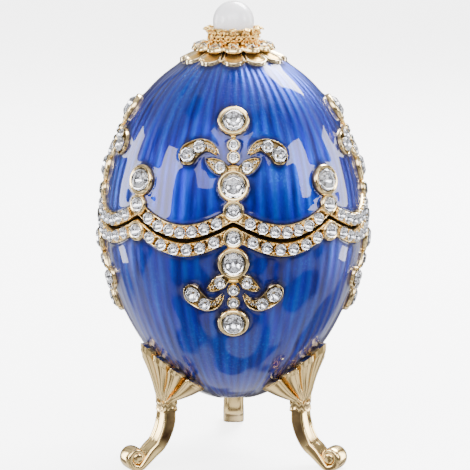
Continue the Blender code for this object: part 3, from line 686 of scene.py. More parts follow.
# commas and leaves run through (degrees from their column, millimetres from the crest, half width);
# their stones and grains give a diameter in the third place
halves = {
    "lid": {
        "sign": 1,
        "pair": (12.2 * mm, 14.35 * mm),
        "knot": 10.05 * mm,
        "links": (4.55 * mm, 15.85 * mm),
        "comma": ((21.6, 12.25, 1.80), (20.7, 13.0, 1.88), (16.5, 14.0, 1.5), (12.6, 14.15, 1.1),
                  (9.4, 13.45, 0.75), (6.3, 12.35, 0.1)),
        "commaStones": ((21.5, 12.4, 3.0), (16.3, 13.95, 2.5)),
        "commaGrains": ((13.5, 14.15, 0.75), (11.7, 14.0, 0.72), (10.1, 13.7, 0.6), (8.7, 13.2, 0.5)),
        "leaf": ((4.2, 10.0, 1.0), (6.2, 10.4, 1.35), (8.7, 11.0, 1.15), (11.0, 11.5, 0.7),
                 (13.2, 11.95, 0.1)),
        "leafStones": ((6.0, 10.4, 2.35),),
        "leafGrains": ((8.4, 10.95, 0.8), (9.9, 11.3, 0.65), (11.1, 11.55, 0.45)),
        "festoon": 7,
        "margin": 6.9,
    },
    "bowl": {
        "sign": -1,
        "pair": (12.5 * mm, 15.05 * mm),
        "knot": 10.4 * mm,
        "links": (4.70 * mm, 17.0 * mm),
        "comma": ((17.9, 13.35, 1.80), (17.1, 14.0, 1.88), (13.0, 15.35, 1.5), (9.4, 15.55, 1.1),
                  (6.5, 14.75, 0.75), (4.0, 13.05, 0.1)),
        "commaStones": ((17.8, 13.5, 3.0), (12.7, 15.35, 2.5)),
        "commaGrains": ((10.1, 15.5, 0.75), (8.4, 15.3, 0.72), (6.9, 14.8, 0.6), (5.8, 14.2, 0.5)),
        "leaf": ((3.9, 10.4, 1.0), (5.7, 11.0, 1.4), (7.8, 11.7, 1.15), (9.8, 12.3, 0.7), (11.7, 12.8, 0.1)),
        "leafStones": ((5.7, 11.0, 2.35),),
        "leafGrains": ((7.6, 11.6, 0.8), (8.9, 11.95, 0.65), (9.9, 12.15, 0.45)),
        "festoon": 6,
        "margin": 7.9,
    },
}

festoon = {
    "stone": 2.34 * mm,
    "grain": 0.34 * mm,
    "lane": 0.86 * mm,
    "lift": 0.10 * mm,
    "seatSink": 0.06 * mm,
    "grainLift": 0.42 * mm,
    "wobble": 0.06 * mm,
}

mountLook = {
    "steps": 9,
    "height": 0.72 * mm,
    "floor": -0.10 * mm,
    "rim": 0.30 * mm,
    "foot": -0.4 * mm,
    "stoneLift": 0.06 * mm,
    "crumbLift": 0.34 * mm,
    "beadLift": 0.5 * mm,
    "bead": 0.2 * mm,
}

knotLook = {
    "width": 2.9 * mm,
    "height": 1.7 * mm,
    "depth": 0.95 * mm,
    "shadow": 1.2 * mm,
    "link": 0.55 * mm,
    "linkLift": 0.25 * mm,
}

columns = evenly(4)


def spineOf(stations, sign):
    # azimuth from the column, height and half width along a comma or leaf
    path = smoothPath(stations, mountLook["steps"])
    turn, rise, half = np.radians(path[:, 0]), crest + sign * path[:, 1] * mm, path[:, 2] * mm
    return turn, rise, np.maximum(half, 0.06 * mm)


def mountPatch(azimuth, height, half):
    # closed trough along the spine: rounded rim on each side of a sunk floor, and a straight foot
    look = mountLook
    spine = onEgg(azimuth, height)
    out, up = eggNormal(height)
    normal = around(out, azimuth, up)
    across = np.cross(directions(spine), normal)
    rim = np.minimum(look["rim"], half * 0.45)[:, None]
    width = half[:, None]
    widest = np.maximum.accumulate(half[::-1])[::-1]  # the head stays tall, the tail tapers
    tall = np.clip(widest / (0.7 * mm), 0.35, 1.0)[:, None]
    steps = np.linalg.norm(np.diff(spine, axis=0), axis=1)
    fromHead = np.concatenate(((0,), np.cumsum(steps)))[:, None]
    closed = look["height"] * (1 - smoothStep(0.8 * look["rim"], 1.6 * look["rim"], fromHead))
    step = np.array((0.0, 0.0, 0.12, 0.5, 0.88, 1.0, 1.25))[None]
    lift = np.array((look["foot"], 0.45 * mm, 0.66 * mm, look["height"], 0.62 * mm, 0.46 * mm, look["floor"]))
    sideways = width - rim * step
    rise = np.where(lift[None] > 0, lift[None] * tall, lift[None])
    rise[:, 4:] = np.maximum(rise[:, 4:], closed - 0.04 * mm)  # the rim runs round the head
    reach = np.concatenate((-sideways, sideways[:, ::-1]), 1)
    climb = np.concatenate((rise, rise[:, ::-1]), 1)
    section = spine[:, None] + across[:, None] * reach[..., None] + normal[:, None] * climb[..., None]
    # painted shade on the low parts of the trough: its foot and sunk floor
    shadeMarks = np.where(climb <= 0.3 * mm, 0.8, 0.0).ravel()
    return tube(section), np.concatenate((shadeMarks, (1.0, 1.0)))


def endRounded(azimuth, height, half):
    # adds a round end in front of the first station of a spine
    spine = onEgg(azimuth, height)
    back = azimuth[0] - azimuth[1], height[0] - height[1]
    length = np.linalg.norm(spine[0] - spine[1])
    angle = np.linspace(math.pi / 2, 0, 7)[:-1]
    share = np.sin(angle) * half[0] / length
    newAzimuth = azimuth[0] + back[0] * share
    newHeight = height[0] + back[1] * share
    newHalf = np.maximum(half[0] * np.cos(angle), 0.05 * mm)
    return (np.concatenate((newAzimuth, azimuth)), np.concatenate((newHeight, height)),
            np.concatenate((newHalf, half)))


def scaledFrames(frames, scale):
    origins, axes = frames
    return origins, axes * np.asarray(scale, float).reshape(-1, 1, 1)


def domePatch(radius, rings, segments, sink=0.5):
    # a bead: a sphere whose lower part is sunk and closed flat
    angle = np.linspace(0.08, math.pi * (1 - sink * 0.5), rings)
    profile = np.stack((radius * np.sin(angle), radius * np.cos(angle)), -1)
    return tube(turned(profile, segments))


def reelPatch(width, height, depth):
    # a small reel with three rounded ridges across it
    t = np.linspace(-1, 1, 19)[:, None]
    ridge = 0.72 + 0.28 * np.abs(np.sin(t * math.pi * 1.5))
    envelope = np.sqrt(np.clip(1 - t ** 4, 0.0004, 1))
    angle = evenly(20)
    x = width / 2 * np.cos(angle) * (0.85 + 0.15 * t ** 2) * envelope
    z = depth * np.sin(angle) * ridge * envelope
    return tube(np.stack(np.broadcast_arrays(x, height / 2 * t, z), -1))


def buildHalf(name):
    # settings, mounts, festoon row and small crystals of the lid or the bowl
    facts = halves[name]
    sign = facts["sign"]
    bezels, bezelShade, foils, stones, mounts, mountShade, grains = ([] for _ in range(7))
    shadows = []  # (points, radii) that the enamel pools against
    gem, cup = brilliantPatch(smallStone), foilPatch(smallStone)
    bead, linkBead = domePatch(1.0, 5, 8), domePatch(knotLook["link"], 6, 10)

    def shadow(points, radii):
        shadows.append((points, np.broadcast_to(radii, len(points))))

    def setCollars(stone, frames):
        patch, shadeMarks = bezelPatch(stone)
        bezels.append(repeated(patch, frames))
        bezelShade.append(np.tile(shadeMarks, len(frames[0])))
        shadow(frames[0], stone["diameter"] / 2 + stone["rim"])

    def setSmall(frames, diameter):
        placed = scaledFrames(frames, np.full(len(frames[0]), diameter / smallStone["diameter"]))
        stones.append(repeated(gem, placed))
        foils.append(repeated(cup, placed))

    for _, stone, rise, spots in crystalRows:
        if rise * sign > 0:
            frames = eggFrames(np.array(spots) * fullTurn / 8, crest + rise)
            setCollars(stone, frames)
            foils.append(repeated(foilPatch(stone), frames))
    for rise in facts["pair"]:
        frames = eggFrames(columns, crest + sign * rise)
        setSmall(frames, smallStone["diameter"])
        setCollars(smallStone, frames)

    # reel and link beads between the stones of a column
    frames = eggFrames(columns, crest + sign * facts["knot"])
    grains.append(repeated(reelPatch(knotLook["width"], knotLook["height"], knotLook["depth"]), frames))
    shadow(frames[0], knotLook["shadow"])
    for rise in facts["links"]:
        grains.append(repeated(linkBead, eggFrames(columns, crest + sign * rise, knotLook["linkLift"])))

    for side in (-1, 1):
        for kind in ("comma", "leaf"):
            turn, height, half = spineOf(facts[kind], sign)
            for column in columns:
                patch, shadeMarks = mountPatch(*endRounded(column + side * turn, height, half))
                mounts.append(patch)
                mountShade.append(shadeMarks)
                shadow(onEgg(column + side * turn, height)[::3], half[::3])
            for turn, rise, width in facts[kind + "Stones"]:
                place = columns + side * math.radians(turn), crest + sign * rise * mm
                setSmall(eggFrames(*place, mountLook["stoneLift"]), width * mm)
            for turn, rise, width in facts[kind + "Grains"]:
                place = columns + side * math.radians(turn), crest + sign * rise * mm
                crumbs = eggFrames(*place, mountLook["crumbLift"])
                stones.append(repeated(gem, scaledFrames(crumbs, width * mm / smallStone["diameter"])))
                origins, axes = eggFrames(*place, mountLook["beadLift"])
                aside = axes[:, :, 1] * width * 0.5 * mm
                for shift in (-1, 1):
                    grains.append(repeated(bead, (origins + aside * shift, axes * mountLook["bead"])))

    # festoon: a row of stones along every swag, with grains above and below the gaps
    count = facts["festoon"]
    stepAngle = (360 / seam["swags"] - 2 * facts["margin"]) / (count - 1)
    places = np.radians(facts["margin"] + stepAngle * np.arange(count))
    spots = (evenly(seam["swags"])[:, None] + places).ravel()
    heights = seamHeight(spots) + sign * seam["bandCentre"]
    wobble = festoon["wobble"] * np.sin(spots * 37.0 + 1.3)
    frames = eggFrames(spots, heights + wobble, festoon["lift"])
    setSmall(frames, festoon["stone"])
    setCollars(smallStone, (frames[0] - festoon["seatSink"] * frames[1][:, :, 2], frames[1]))
    middle = spots + np.radians(stepAngle) / 2
    for shift in (-1, 1):
        lane = seamHeight(middle) + sign * (seam["bandCentre"] + shift * festoon["lane"])
        inner = eggFrames(middle, lane, festoon["grainLift"])
        grains.append(repeated(bead, scaledFrames(inner, festoon["grain"])))

    makePiece(name + "Bezels", joined(bezels), paleGold,
              marks={"recess": np.concatenate(bezelShade)})
    makePiece(name + "Foils", joined(foils), foil, sharp=30)
    makePiece(name + "SmallCrystals", joined(stones), crystal, sharp=0)
    makePiece(name + "Mounts", joined(mounts), paleGold, sharp=50,
              marks={"recess": np.concatenate(mountShade)})
    makePiece(name + "Grains", joined(grains), grainGold)
    print(name, "settings made")
    return shadows


def buildCrystals():
    for label, stone, rise, spots in crystalRows:
        patch = brilliantPatch(stone)
        for spot in spots:
            nodeName = "crystal_" + columnNames[spot] + "_" + label
            placed = repeated(patch, eggFrames(spot * fullTurn / 8, crest + rise))
            makePiece(pieceNamed(nodeName), placed, crystal, (nodeName,), sharp=0)
    print("large and medium crystals made")


# Shells

shellLook = {
    "columns": 464,
    "rows": 144,
    "backRows": 14,
    "castingColumns": 384,
    "outerRows": 16,
    "innerRows": 20,
    "skin": 1.10 * mm,  # depth of the enamel's back
    "bed": 1.15 * mm,  # depth of the metal behind it
    "pit": 0.95 * mm,  # hollow under each setting, for its stone
    "pool": 0.26 * mm,  # rise of the enamel against a casting
    "poolReach": 0.55 * mm,
    "haloReach": 0.95 * mm,
    "swell": 0.020 * mm,
    "bandEdge": 3.05 * mm,
}

# sections of the band and its lips: (distance from the seam, lift from the egg)
bandSection = np.array((
    (3.08, -0.45), (3.05, -0.05), (3.02, 0.22), (2.95, 0.40), (2.84, 0.46), (2.73, 0.40), (2.66, 0.20),
    (2.58, 0.02), (1.65, -0.05), (0.84, 0.02), (0.76, 0.22), (0.71, 0.46), (0.60, 0.55), (0.48, 0.50),
    (0.37, 0.28), (0.28, 0.0), (0.20, -0.35), (0.20, -1.0),
)) * mm
lidLip = np.array(((0.20, -1.6),)) * mm
bowlLip = np.array((
    (0.22, -1.7), (0.20, -1.95), (-1.55, -2.0), (-1.72, -2.25), (-1.5, -2.6), (1.6, -2.6), (2.2, -2.3),
    (2.8, -1.7),
)) * mm


def shellHeights(azimuth, start, sign, rows):
    # heights from a wavy edge to the pole, evenly spaced in the angle seen from the equator
    reach = egg["top"] - egg["equator"] if sign > 0 else egg["equator"] - egg["bottom"]
    low = math.asin(sign * (start - egg["equator"]) / reach)
    angle = low + (math.pi / 2 - 0.004 - low) * np.linspace(0, 1, rows)[:, None]
    return np.clip(waved(azimuth, egg["equator"] + sign * reach * np.sin(angle)), egg["bottom"], egg["top"])


def nearest(points, shadows):
    # distance from each point to the edge of the nearest round shadow
    best = np.full(len(points), 1.0)
    for centres, radii in shadows:
        for centre, radius in zip(centres, radii):
            gap = points - centre
            best = np.minimum(best, np.sqrt(np.einsum("ij,ij->i", gap, gap)) - radius)
    return best


def ripples(azimuth, height):
    # long low swells that keep the reflections from being ruled straight
    rise = height / mm
    return (np.sin(3 * azimuth + 0.21 * rise) + np.sin(5 * azimuth - 0.33 * rise + 1.1)
            + np.sin(8 * azimuth + 0.47 * rise + 2.3) + 0.6 * np.sin(13 * azimuth - 0.62 * rise + 0.4))


def buildEnamel(name, sign, shadows, border):
    # glass skin that pools against the castings and leaves a pit under every setting
    look = shellLook
    azimuth = evenly(look["columns"])
    start = seam["low"] + sign * look["bandEdge"]
    height = shellHeights(azimuth, start, sign, look["rows"])
    bare = onEgg(azimuth, height)
    away = nearest(bare.reshape(-1, 3), shadows).reshape(height.shape)
    fromBand = (height - (seamHeight(azimuth) + sign * look["bandEdge"])) * sign
    away = np.minimum(np.minimum(away, fromBand), border(azimuth, height))
    near = np.maximum(away, 0)
    under = smoothStep(0.15 * mm, 0.55 * mm, -away)
    lift = look["pool"] * np.exp(-near / look["poolReach"]) + look["swell"] * ripples(azimuth, height)
    polar = smoothStep(1.5 * mm, 6.0 * mm, np.hypot(bare[..., 0], bare[..., 1]))
    outer = onEgg(azimuth, height, lift * polar * (1 - under) - look["pit"] * under)
    # painted shade mark, strongest where the enamel meets a casting
    halo = np.exp(-(near / look["haloReach"]) ** 2)
    inner = onEgg(azimuth, shellHeights(azimuth, start, sign, look["backRows"])[::-1], -look["skin"])
    marks = np.concatenate((np.ones(inner.size // 3), halo.ravel(), (1.0, 0.0)))
    patch = tube(np.concatenate((inner, outer)))
    makePiece(name + "Enamel", patch, enamel, (name,), marks={"halo": marks})
    print(name, "enamel made")


def buildCasting(name, sign, shadows):
    # the metal under the enamel: outside, jewelled band with its two rails, rim and inner wall
    look = shellLook
    azimuth = evenly(look["castingColumns"])
    lip = lidLip if sign > 0 else smoothPath(bowlLip, 2)
    profile = np.concatenate((smoothPath(bandSection, 3), lip))
    middle = waved(azimuth, seam["low"] + sign * profile[:, :1])
    bare = onEgg(azimuth, middle).reshape(-1, 3)
    under = smoothStep(0.12 * mm, 0.42 * mm, -nearest(bare, shadows)).reshape(middle.shape)
    sunk = np.minimum(profile[:, 1:], -0.75 * mm)
    band = onEgg(azimuth, middle, profile[:, 1:] * (1 - under) + sunk * under)
    start = seam["low"] + sign * (look["bandEdge"] + 0.1 * mm)
    outer = onEgg(azimuth, shellHeights(azimuth, start, sign, look["outerRows"])[::-1], -look["bed"])
    innerStart = seam["low"] + sign * (0.5 if sign > 0 else 3.2) * mm
    inner = onEgg(azimuth, shellHeights(azimuth, innerStart, sign, look["innerRows"]), -egg["wall"])
    # painted shade: darkest on the low parts of the band, lighter between the rails, faint on the inner wall
    recess = np.zeros(len(profile))
    recess[profile[:, 1] < 0.12 * mm] = 0.9
    recess[(profile[:, 0] > 0.8 * mm) & (profile[:, 0] < 2.6 * mm)] = 0.45
    marks = np.concatenate((np.zeros(outer.size // 3), np.repeat(recess, len(azimuth)),
                            np.full(inner.size // 3, 0.3), (0, 0)))
    patch = tube(np.concatenate((outer, band, inner)))
    makePiece(name + "Casting", patch, paleGold, marks={"recess": marks})
    print(name, "casting made")


# Legs

legLook = {
    "azimuths": {"leg_front_right": 60, "leg_back": 180, "leg_front_left": 300},
    "neckRadius": 15.4 * mm,
    "neckHeight": 13.2 * mm,
    "neckHalfWidth": 2.0 * mm,
    "neckHalfDepth": 1.6 * mm,
    "shaftHalfWidth": 2.2 * mm,
    "shaftHalfDepth": 1.25 * mm,
    "bandHeight": 2.2 * mm,
    "footSpread": 7.4 * mm,
    "heel": 1.4 * mm,
    "scrollRadius": 2.8 * mm,
    "scrollHalfDepth": 0.75 * mm,
    "footSink": 0.3 * mm,
    "channel": 0.6 * mm,
    "lobes": 7,
    "spread": 30.0,
    "tipHeight": 25.4 * mm,
    "sideDrop": 8.0 * mm,
    "notch": 2.1 * mm,
    "lip": 0.88,
    "stepped": 0.55,  # how far each lobe keeps a level tip of its own
    "lipStand": 2.2 * mm,
    "tipStand": 1.3 * mm,
    "bulge": 0.80 * mm,
}


def legPath():
    # radius, height, half width, half depth and channel from the neck down to the rolled foot
    look = legLook
    neck, low = look["neckRadius"], look["neckHeight"] - look["bandHeight"]
    axis = neck + look["footSpread"]
    roll = look["scrollRadius"] - look["scrollHalfDepth"]
    drop = (low - roll) * 0.93
    stations = [
        (neck - 0.2 * mm, look["neckHeight"] + 3.0 * mm, 2.3 * mm, 2.0 * mm, 0.0),
        (neck, look["neckHeight"] - 0.4 * mm, 2.0 * mm, 1.6 * mm, 0.2 * mm),
        (neck + 0.1 * mm, low, 2.05 * mm, 1.5 * mm, look["channel"]),
    ]
    for share in (0.2, 0.4, 0.6, 0.8):
        radius = neck + (look["footSpread"] - look["heel"]) * share ** 1.9
        height = low - drop * math.sin(share * math.pi / 2) ** 1.15
        depth = look["neckHalfDepth"] + (look["shaftHalfDepth"] - look["neckHalfDepth"]) * share
        stations.append((radius, height, look["shaftHalfWidth"], depth, look["channel"]))
    for share in np.linspace(0, 1, 12):
        angle = math.radians(-115 + 330 * share)
        rolled = roll * (1 - 0.52 * share)
        radius = axis + rolled * math.cos(angle)
        height = look["scrollRadius"] + rolled * math.sin(angle) - look["footSink"]
        width = look["shaftHalfWidth"] * (1 - 0.22 * share)
        depth = look["scrollHalfDepth"] * (1.1 - 0.35 * share)
        stations.append((radius, height, width, depth, look["channel"] * max(0.0, 0.5 - share)))
    return smoothPath(stations, 5)


def strapPatch():
    # rounded strap with a channel down its outer face and hammered flanks, carried along the path
    look = legLook
    radius, height, width, depth, channel = (column[:, None] for column in legPath().T)
    spine = np.concatenate((0 * radius, -radius, height), 1)
    across = np.array((1.0, 0.0, 0.0))
    out = np.cross(directions(spine), across)
    angle = evenly(40)
    side, face = squared(np.cos(angle), 0.6), squared(np.sin(angle), 0.5)
    hollow = np.where(face > 0, 1 - smoothStep(0.45, 0.82, np.abs(side)), 0)
    reach = depth * face - channel * hollow
    points = spine[:, None] + across * (width * side)[..., None] + out[:, None] * reach[..., None]
    points[..., 2] = np.maximum(points[..., 2], 0)
    flank = smoothStep(0.80, 0.97, np.abs(side)) * (1 - smoothStep(0.55, 0.9, np.abs(face)))
    low = smoothStep(look["scrollRadius"] * 1.2, look["scrollRadius"] * 2.0, height)
    hammered = flank * low * (channel > 0.3 * mm)
    spots = np.sin(height * 9000 + 3 * np.sin(angle * 3)) * np.sin(angle * 7 + height * 5200)
    dent = hammered * np.sign(side) * (0.10 + 0.05 * spots) * mm
    # the hammered flanks are also marked for painted shade
    return tube(points - across * dent[..., None]), np.concatenate((hammered.ravel(), (0, 0)))


def palmetteTips(u):
    # heights of the upper edge, falling away to both sides, and how full each lobe is there
    look = legLook
    phase = (np.clip(u, -1, 1) + 1) * look["lobes"] / 2
    count = np.floor(np.minimum(phase, look["lobes"] - 1e-9))
    local = (phase - count) * 2 - 1
    lobe = np.sqrt(np.clip(1 - local ** 2, 0, 1))
    middle = (count + 0.5) * 2 / look["lobes"] - 1
    drop = np.abs(look["stepped"] * middle + (1 - look["stepped"]) * u)
    plump = np.clip(1 - np.abs(local) ** 2.6, 0, 1) ** 0.55
    return look["tipHeight"] - look["sideDrop"] * drop - look["notch"] * (1 - lobe), plump


def palmettePatch():
    # fan of rounded lobes: they swell out to a lip, curl over it and lean back to the egg
    look = legLook
    u = np.linspace(-1, 1, 169)
    v = np.concatenate((np.linspace(0, 0.80, 22), np.linspace(0.83, 1.0, 12)))[:, None]
    tip, lobe = palmetteTips(u)
    foot = look["neckHeight"] - 0.1 * mm
    height = foot + (tip - foot) * v
    neckTurn = math.degrees(look["neckHalfWidth"] / look["neckRadius"])
    turn = np.radians(u * (neckTurn + (look["spread"] - neckTurn) * v ** 0.9))
    near = look["neckRadius"] + look["neckHalfDepth"] - 0.1 * mm
    far = eggRadius(foot + (tip - foot) * look["lip"]) + look["lipStand"]
    out = near + (far - near) * np.minimum(v / look["lip"], 1)
    out = out - 0.35 * mm * np.sin(np.minimum(v / look["lip"], 1) * math.pi)
    over = 1 - np.sqrt(np.clip(1 - ((v - look["lip"]) / (1 - look["lip"])).clip(0, 1) ** 2, 0, 1))
    out = out + (eggRadius(tip) + look["tipStand"] - out) * over
    swell = look["bulge"] * (lobe - 0.55) * smoothStep(0.0, 0.30, v)
    radius = out + swell
    wall = eggRadius(height) + 0.10 * mm
    backRadius = np.maximum(np.minimum(radius - 1.1 * mm, out - 1.4 * mm), wall)
    backRadius = np.minimum(backRadius, radius - 0.12 * mm)
    front, back = around(radius, turn, height), around(backRadius, turn, height)
    # painted shade in the grooves between the lobes
    groove = (1 - smoothStep(0.10, 0.42, lobe)) * smoothStep(0.03, 0.2, v)
    points = np.concatenate((front, back[::-1])).transpose(1, 0, 2)
    shadeMarks = np.concatenate((groove, np.zeros_like(groove))).T.ravel()
    return tube(points), np.concatenate((shadeMarks, (0, 0)))


def collarPatch():
    # band round the neck whose outline steps up and down in a zigzag
    look = legLook
    angle = evenly(96)
    zigzag = np.abs((angle * 10 / fullTurn) % 1 * 2 - 1) * 2 - 1
    t = np.array((-1.0, -1.0, -0.9, -0.6, -0.25, 0.0, 0.25, 0.6, 0.9, 1.0, 1.0))[:, None]
    bulge = np.array((0.0, 0.24, 0.32, 0.30, 0.16, 0.12, 0.16, 0.30, 0.32, 0.24, 0.0))[:, None] * mm
    middle = look["neckHeight"] - look["bandHeight"] / 2
    height = middle + t * 0.95 * mm + zigzag * 0.30 * mm
    x = (look["neckHalfWidth"] - 0.1 * mm + bulge) * squared(np.cos(angle), 0.6)
    y = (look["neckHalfDepth"] - 0.1 * mm + bulge) * squared(np.sin(angle), 0.6)
    points = np.stack((x, -look["neckRadius"] - y, height), -1)
    # painted shade on the thin parts of the band: its edges and the dip along its middle
    shadeMarks = np.repeat(np.where(bulge[:, 0] < 0.25 * mm, 0.8, 0.0), len(angle))
    return tube(points), np.concatenate((shadeMarks, (0, 0)))


def volutePatch():
    # boss on both ends of the rolled foot: a drum with domed faces
    look = legLook
    t = np.linspace(-1, 1, 21)[:, None]
    x = 2.15 * mm * np.sin(t * math.pi / 2)
    radius = 1.25 * mm * np.sqrt(np.clip(1 - np.abs(t) ** 3.5, 0.0006, 1))
    angle = evenly(28)
    y = radius * np.cos(angle) - (look["neckRadius"] + look["footSpread"])
    z = look["scrollRadius"] - look["footSink"] + radius * np.sin(angle)
    patch = tube(np.stack(np.broadcast_arrays(x, y, z), -1))
    return patch, np.zeros(len(patch[0]))


def buildLegs():
    parts = [strapPatch(), palmettePatch(), collarPatch(), volutePatch()]
    whole = joined([patch for patch, _ in parts])
    shadeMarks = np.concatenate([values for _, values in parts])
    for nodeName, azimuth in legLook["azimuths"].items():
        placed = aroundZ(whole, math.radians(azimuth))
        makePiece(pieceNamed(nodeName), placed, legGold, (nodeName,), sharp=45,
                  marks={"recess": shadeMarks})
    print("legs made")


def palmetteBorder(azimuth, height):
    # how far a point of the bowl lies above the tips of the nearest leg's leaf
    look = legLook
    best = np.full(np.broadcast(azimuth, height).shape, 1.0)
    spread = math.radians(look["spread"])
    for place in look["azimuths"].values():
        u = (np.mod(azimuth - math.radians(place) + math.pi, fullTurn) - math.pi) / spread
        tip, _ = palmetteTips(u)
        beside = np.maximum(np.abs(u) - 1, 0) * spread * eggRadius(height)
        best = np.minimum(best, np.hypot(np.maximum(height - tip, 0) * 0.85, beside))
    return best


# Finial

finialLook = {
    "petals": 12,
    "petalRadius": 10.4 * mm,
    "petalColumns": 480,
    "petalBore": 5.6 * mm,
    "petalNotch": 1.8 * mm,
    "tierRadius": 8.3 * mm,
    "tierLobes": 6,
    "tierNotch": 1.3 * mm,
    "tierStones": 12,
    "tierSink": 0.55 * mm,
    "tierColumns": 384,
    "tierReach": 6.75 * mm,  # of its crystals from the axis
    "tierDroop": 1.0 * mm,
    "clawReach": 1.05 * mm,
    "clawLift": 0.72 * mm,
    "cupColumns": 96,
    "cupFoot": 2.6 * mm,
    "pearlRadius": 4.04 * mm,
    "pearlHeight": 87.74 * mm,
    "cupRim": 86.7 * mm,
}


def petalEdge(azimuth):
    look = finialLook
    lobe = np.abs(np.cos(azimuth * look["petals"] / 2)) ** 0.62
    return look["petalRadius"] - look["petalNotch"] * (1 - lobe)


def petalBorder(azimuth, height):
    # how far a point of the lid lies outside the petals
    return eggRadius(height) - petalEdge(azimuth)


def buildPetals():
    # each petal is a shallow dish with a thick rounded rim, told by its distance from the outline
    look = finialLook
    azimuth = evenly(look["petalColumns"])
    edge = petalEdge(azimuth)
    share = np.concatenate((np.linspace(0, 0.9, 22), np.linspace(0.92, 1.0, 7)))[:, None]
    radius = look["petalBore"] + (edge - look["petalBore"]) * share
    phase = np.mod(azimuth * look["petals"] / fullTurn + 0.5, 1) * 2 - 1
    half = fullTurn / look["petals"] / 2
    sideGap = (1 - np.abs(phase)) * half * radius
    endGap = edge - radius
    inside = np.minimum(sideGap * 1.1, endGap)
    rim = np.exp(-((inside - 0.34 * mm) / (0.30 * mm)) ** 2)
    fall = smoothStep(0.0, 0.30 * mm, inside)
    dish = smoothStep(0.45 * mm, 1.4 * mm, inside)
    lift = (0.28 + 0.42 * fall + 0.20 * rim - 0.26 * dish) * mm
    top = onEgg(azimuth, eggHeight(radius), lift)
    underRadius = look["petalBore"] + (edge - look["petalBore"]) * np.array((0.98, 0.5, 0.0))[:, None]
    under = onEgg(azimuth, eggHeight(underRadius), 0.10 * mm)
    satin = smoothStep(0.55 * mm, 1.0 * mm, inside)
    # painted shade in the grooves between the petals and on the underside
    groove = (1 - smoothStep(0.04 * mm, 0.26 * mm, sideGap)) * smoothStep(0.0, 0.3 * mm, endGap)
    marks = {
        "satin": np.concatenate((satin.ravel(), np.zeros(underRadius.size))),
        "recess": np.concatenate((groove.ravel() * 0.8, np.full(underRadius.size, 0.8))),
    }
    makePiece("petalCollar", ring(np.concatenate((top, under))), petalGold, ("petal_collar",),
              marks=marks)
    print("petal collar made")


def leaningFrames(count, phase, radius, height, tilt):
    # frames round the axis, with their normals leaning up by a tilt from the level
    spots = evenly(count, phase)
    return facing(around(radius, spots, height), spots, around(math.cos(tilt), spots, math.sin(tilt)))


def buildTier():
    # lobed plate that droops outwards, with rimmed lobes and a claw-set crystal on each half lobe
    look = finialLook
    azimuth = evenly(look["tierColumns"])
    lobe = np.abs(np.cos(azimuth * look["tierLobes"])) ** 0.6
    edge = look["tierRadius"] - look["tierNotch"] * (1 - lobe) * 0.8
    inner = look["cupFoot"] + 0.3 * mm
    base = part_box("crystal_collar")[1].z - look["tierSink"]

    def plate(radius):
        return base - look["tierDroop"] * ((radius - inner) / (look["tierRadius"] - inner)) ** 2

    share = np.concatenate((np.linspace(0, 0.9, 16), np.linspace(0.93, 1, 5)))[:, None]
    radius = inner + (edge - inner) * share
    gap = edge - radius
    rim = np.exp(-((gap - 0.28 * mm) / (0.24 * mm)) ** 2)
    fall = smoothStep(0.0, 0.25 * mm, gap)
    top = around(radius, azimuth, plate(radius) - 0.60 * mm + (0.30 * fall + 0.28 * rim) * mm)
    underRadius = inner + (edge - inner) * np.array((0.97, 0.5, 0.0))[:, None]
    under = around(underRadius, azimuth, plate(underRadius) - 0.80 * mm)
    # painted shade on the underside of the plate
    shadeMarks = np.concatenate((np.zeros(gap.size), np.full(underRadius.size, 0.6)))
    makePiece("crystalTier", ring(np.concatenate((top, under))), paleGold, ("crystal_collar",),
              marks={"recess": shadeMarks})
    reach, count = look["tierReach"], look["tierStones"]
    slope = math.atan(2 * look["tierDroop"] * (reach - inner) / (look["tierRadius"] - inner) ** 2)
    level = plate(reach) - tierStone["girdle"]
    frames = origins, axes = leaningFrames(count, 0.0, reach, level, math.pi / 2 - slope)
    gems = repeated(brilliantPatch(tierStone), frames)
    makePiece("tierCrystals", gems, crystal, sharp=0)
    seat, shadeMarks = bezelPatch(tierStone)
    claw = domePatch(0.26 * mm, 6, 8)
    seats = [repeated(seat, frames)]
    for corner in evenly(4, 0.5):
        shift = (look["clawReach"] * math.cos(corner), look["clawReach"] * math.sin(corner), look["clawLift"])
        seats.append(repeated(claw, (origins + axes @ np.array(shift), axes)))
    clawShade = np.zeros(4 * count * len(claw[0]))
    makePiece("tierSeats", joined(seats), paleGold,
              marks={"recess": np.concatenate((np.tile(shadeMarks, count), clawShade))})
    print("crystal tier made")


def scrollPatch(radius, wire, turns, segments, sides):
    # wire ring drawn out to a spiral: its radius shrinks as it turns
    t = np.linspace(0, 1, segments)
    angle = t * turns * fullTurn
    reach = radius * (1 - 0.62 * t)
    spine = np.stack((reach * np.cos(angle), reach * np.sin(angle), 0 * t), -1)
    normal = np.array((0.0, 0.0, 1.0))
    across = np.cross(directions(spine), normal)
    spin = evenly(sides)[:, None]
    offset = across[:, None] * np.cos(spin) + normal * np.sin(spin)
    return tube(spine[:, None] + offset * wire)


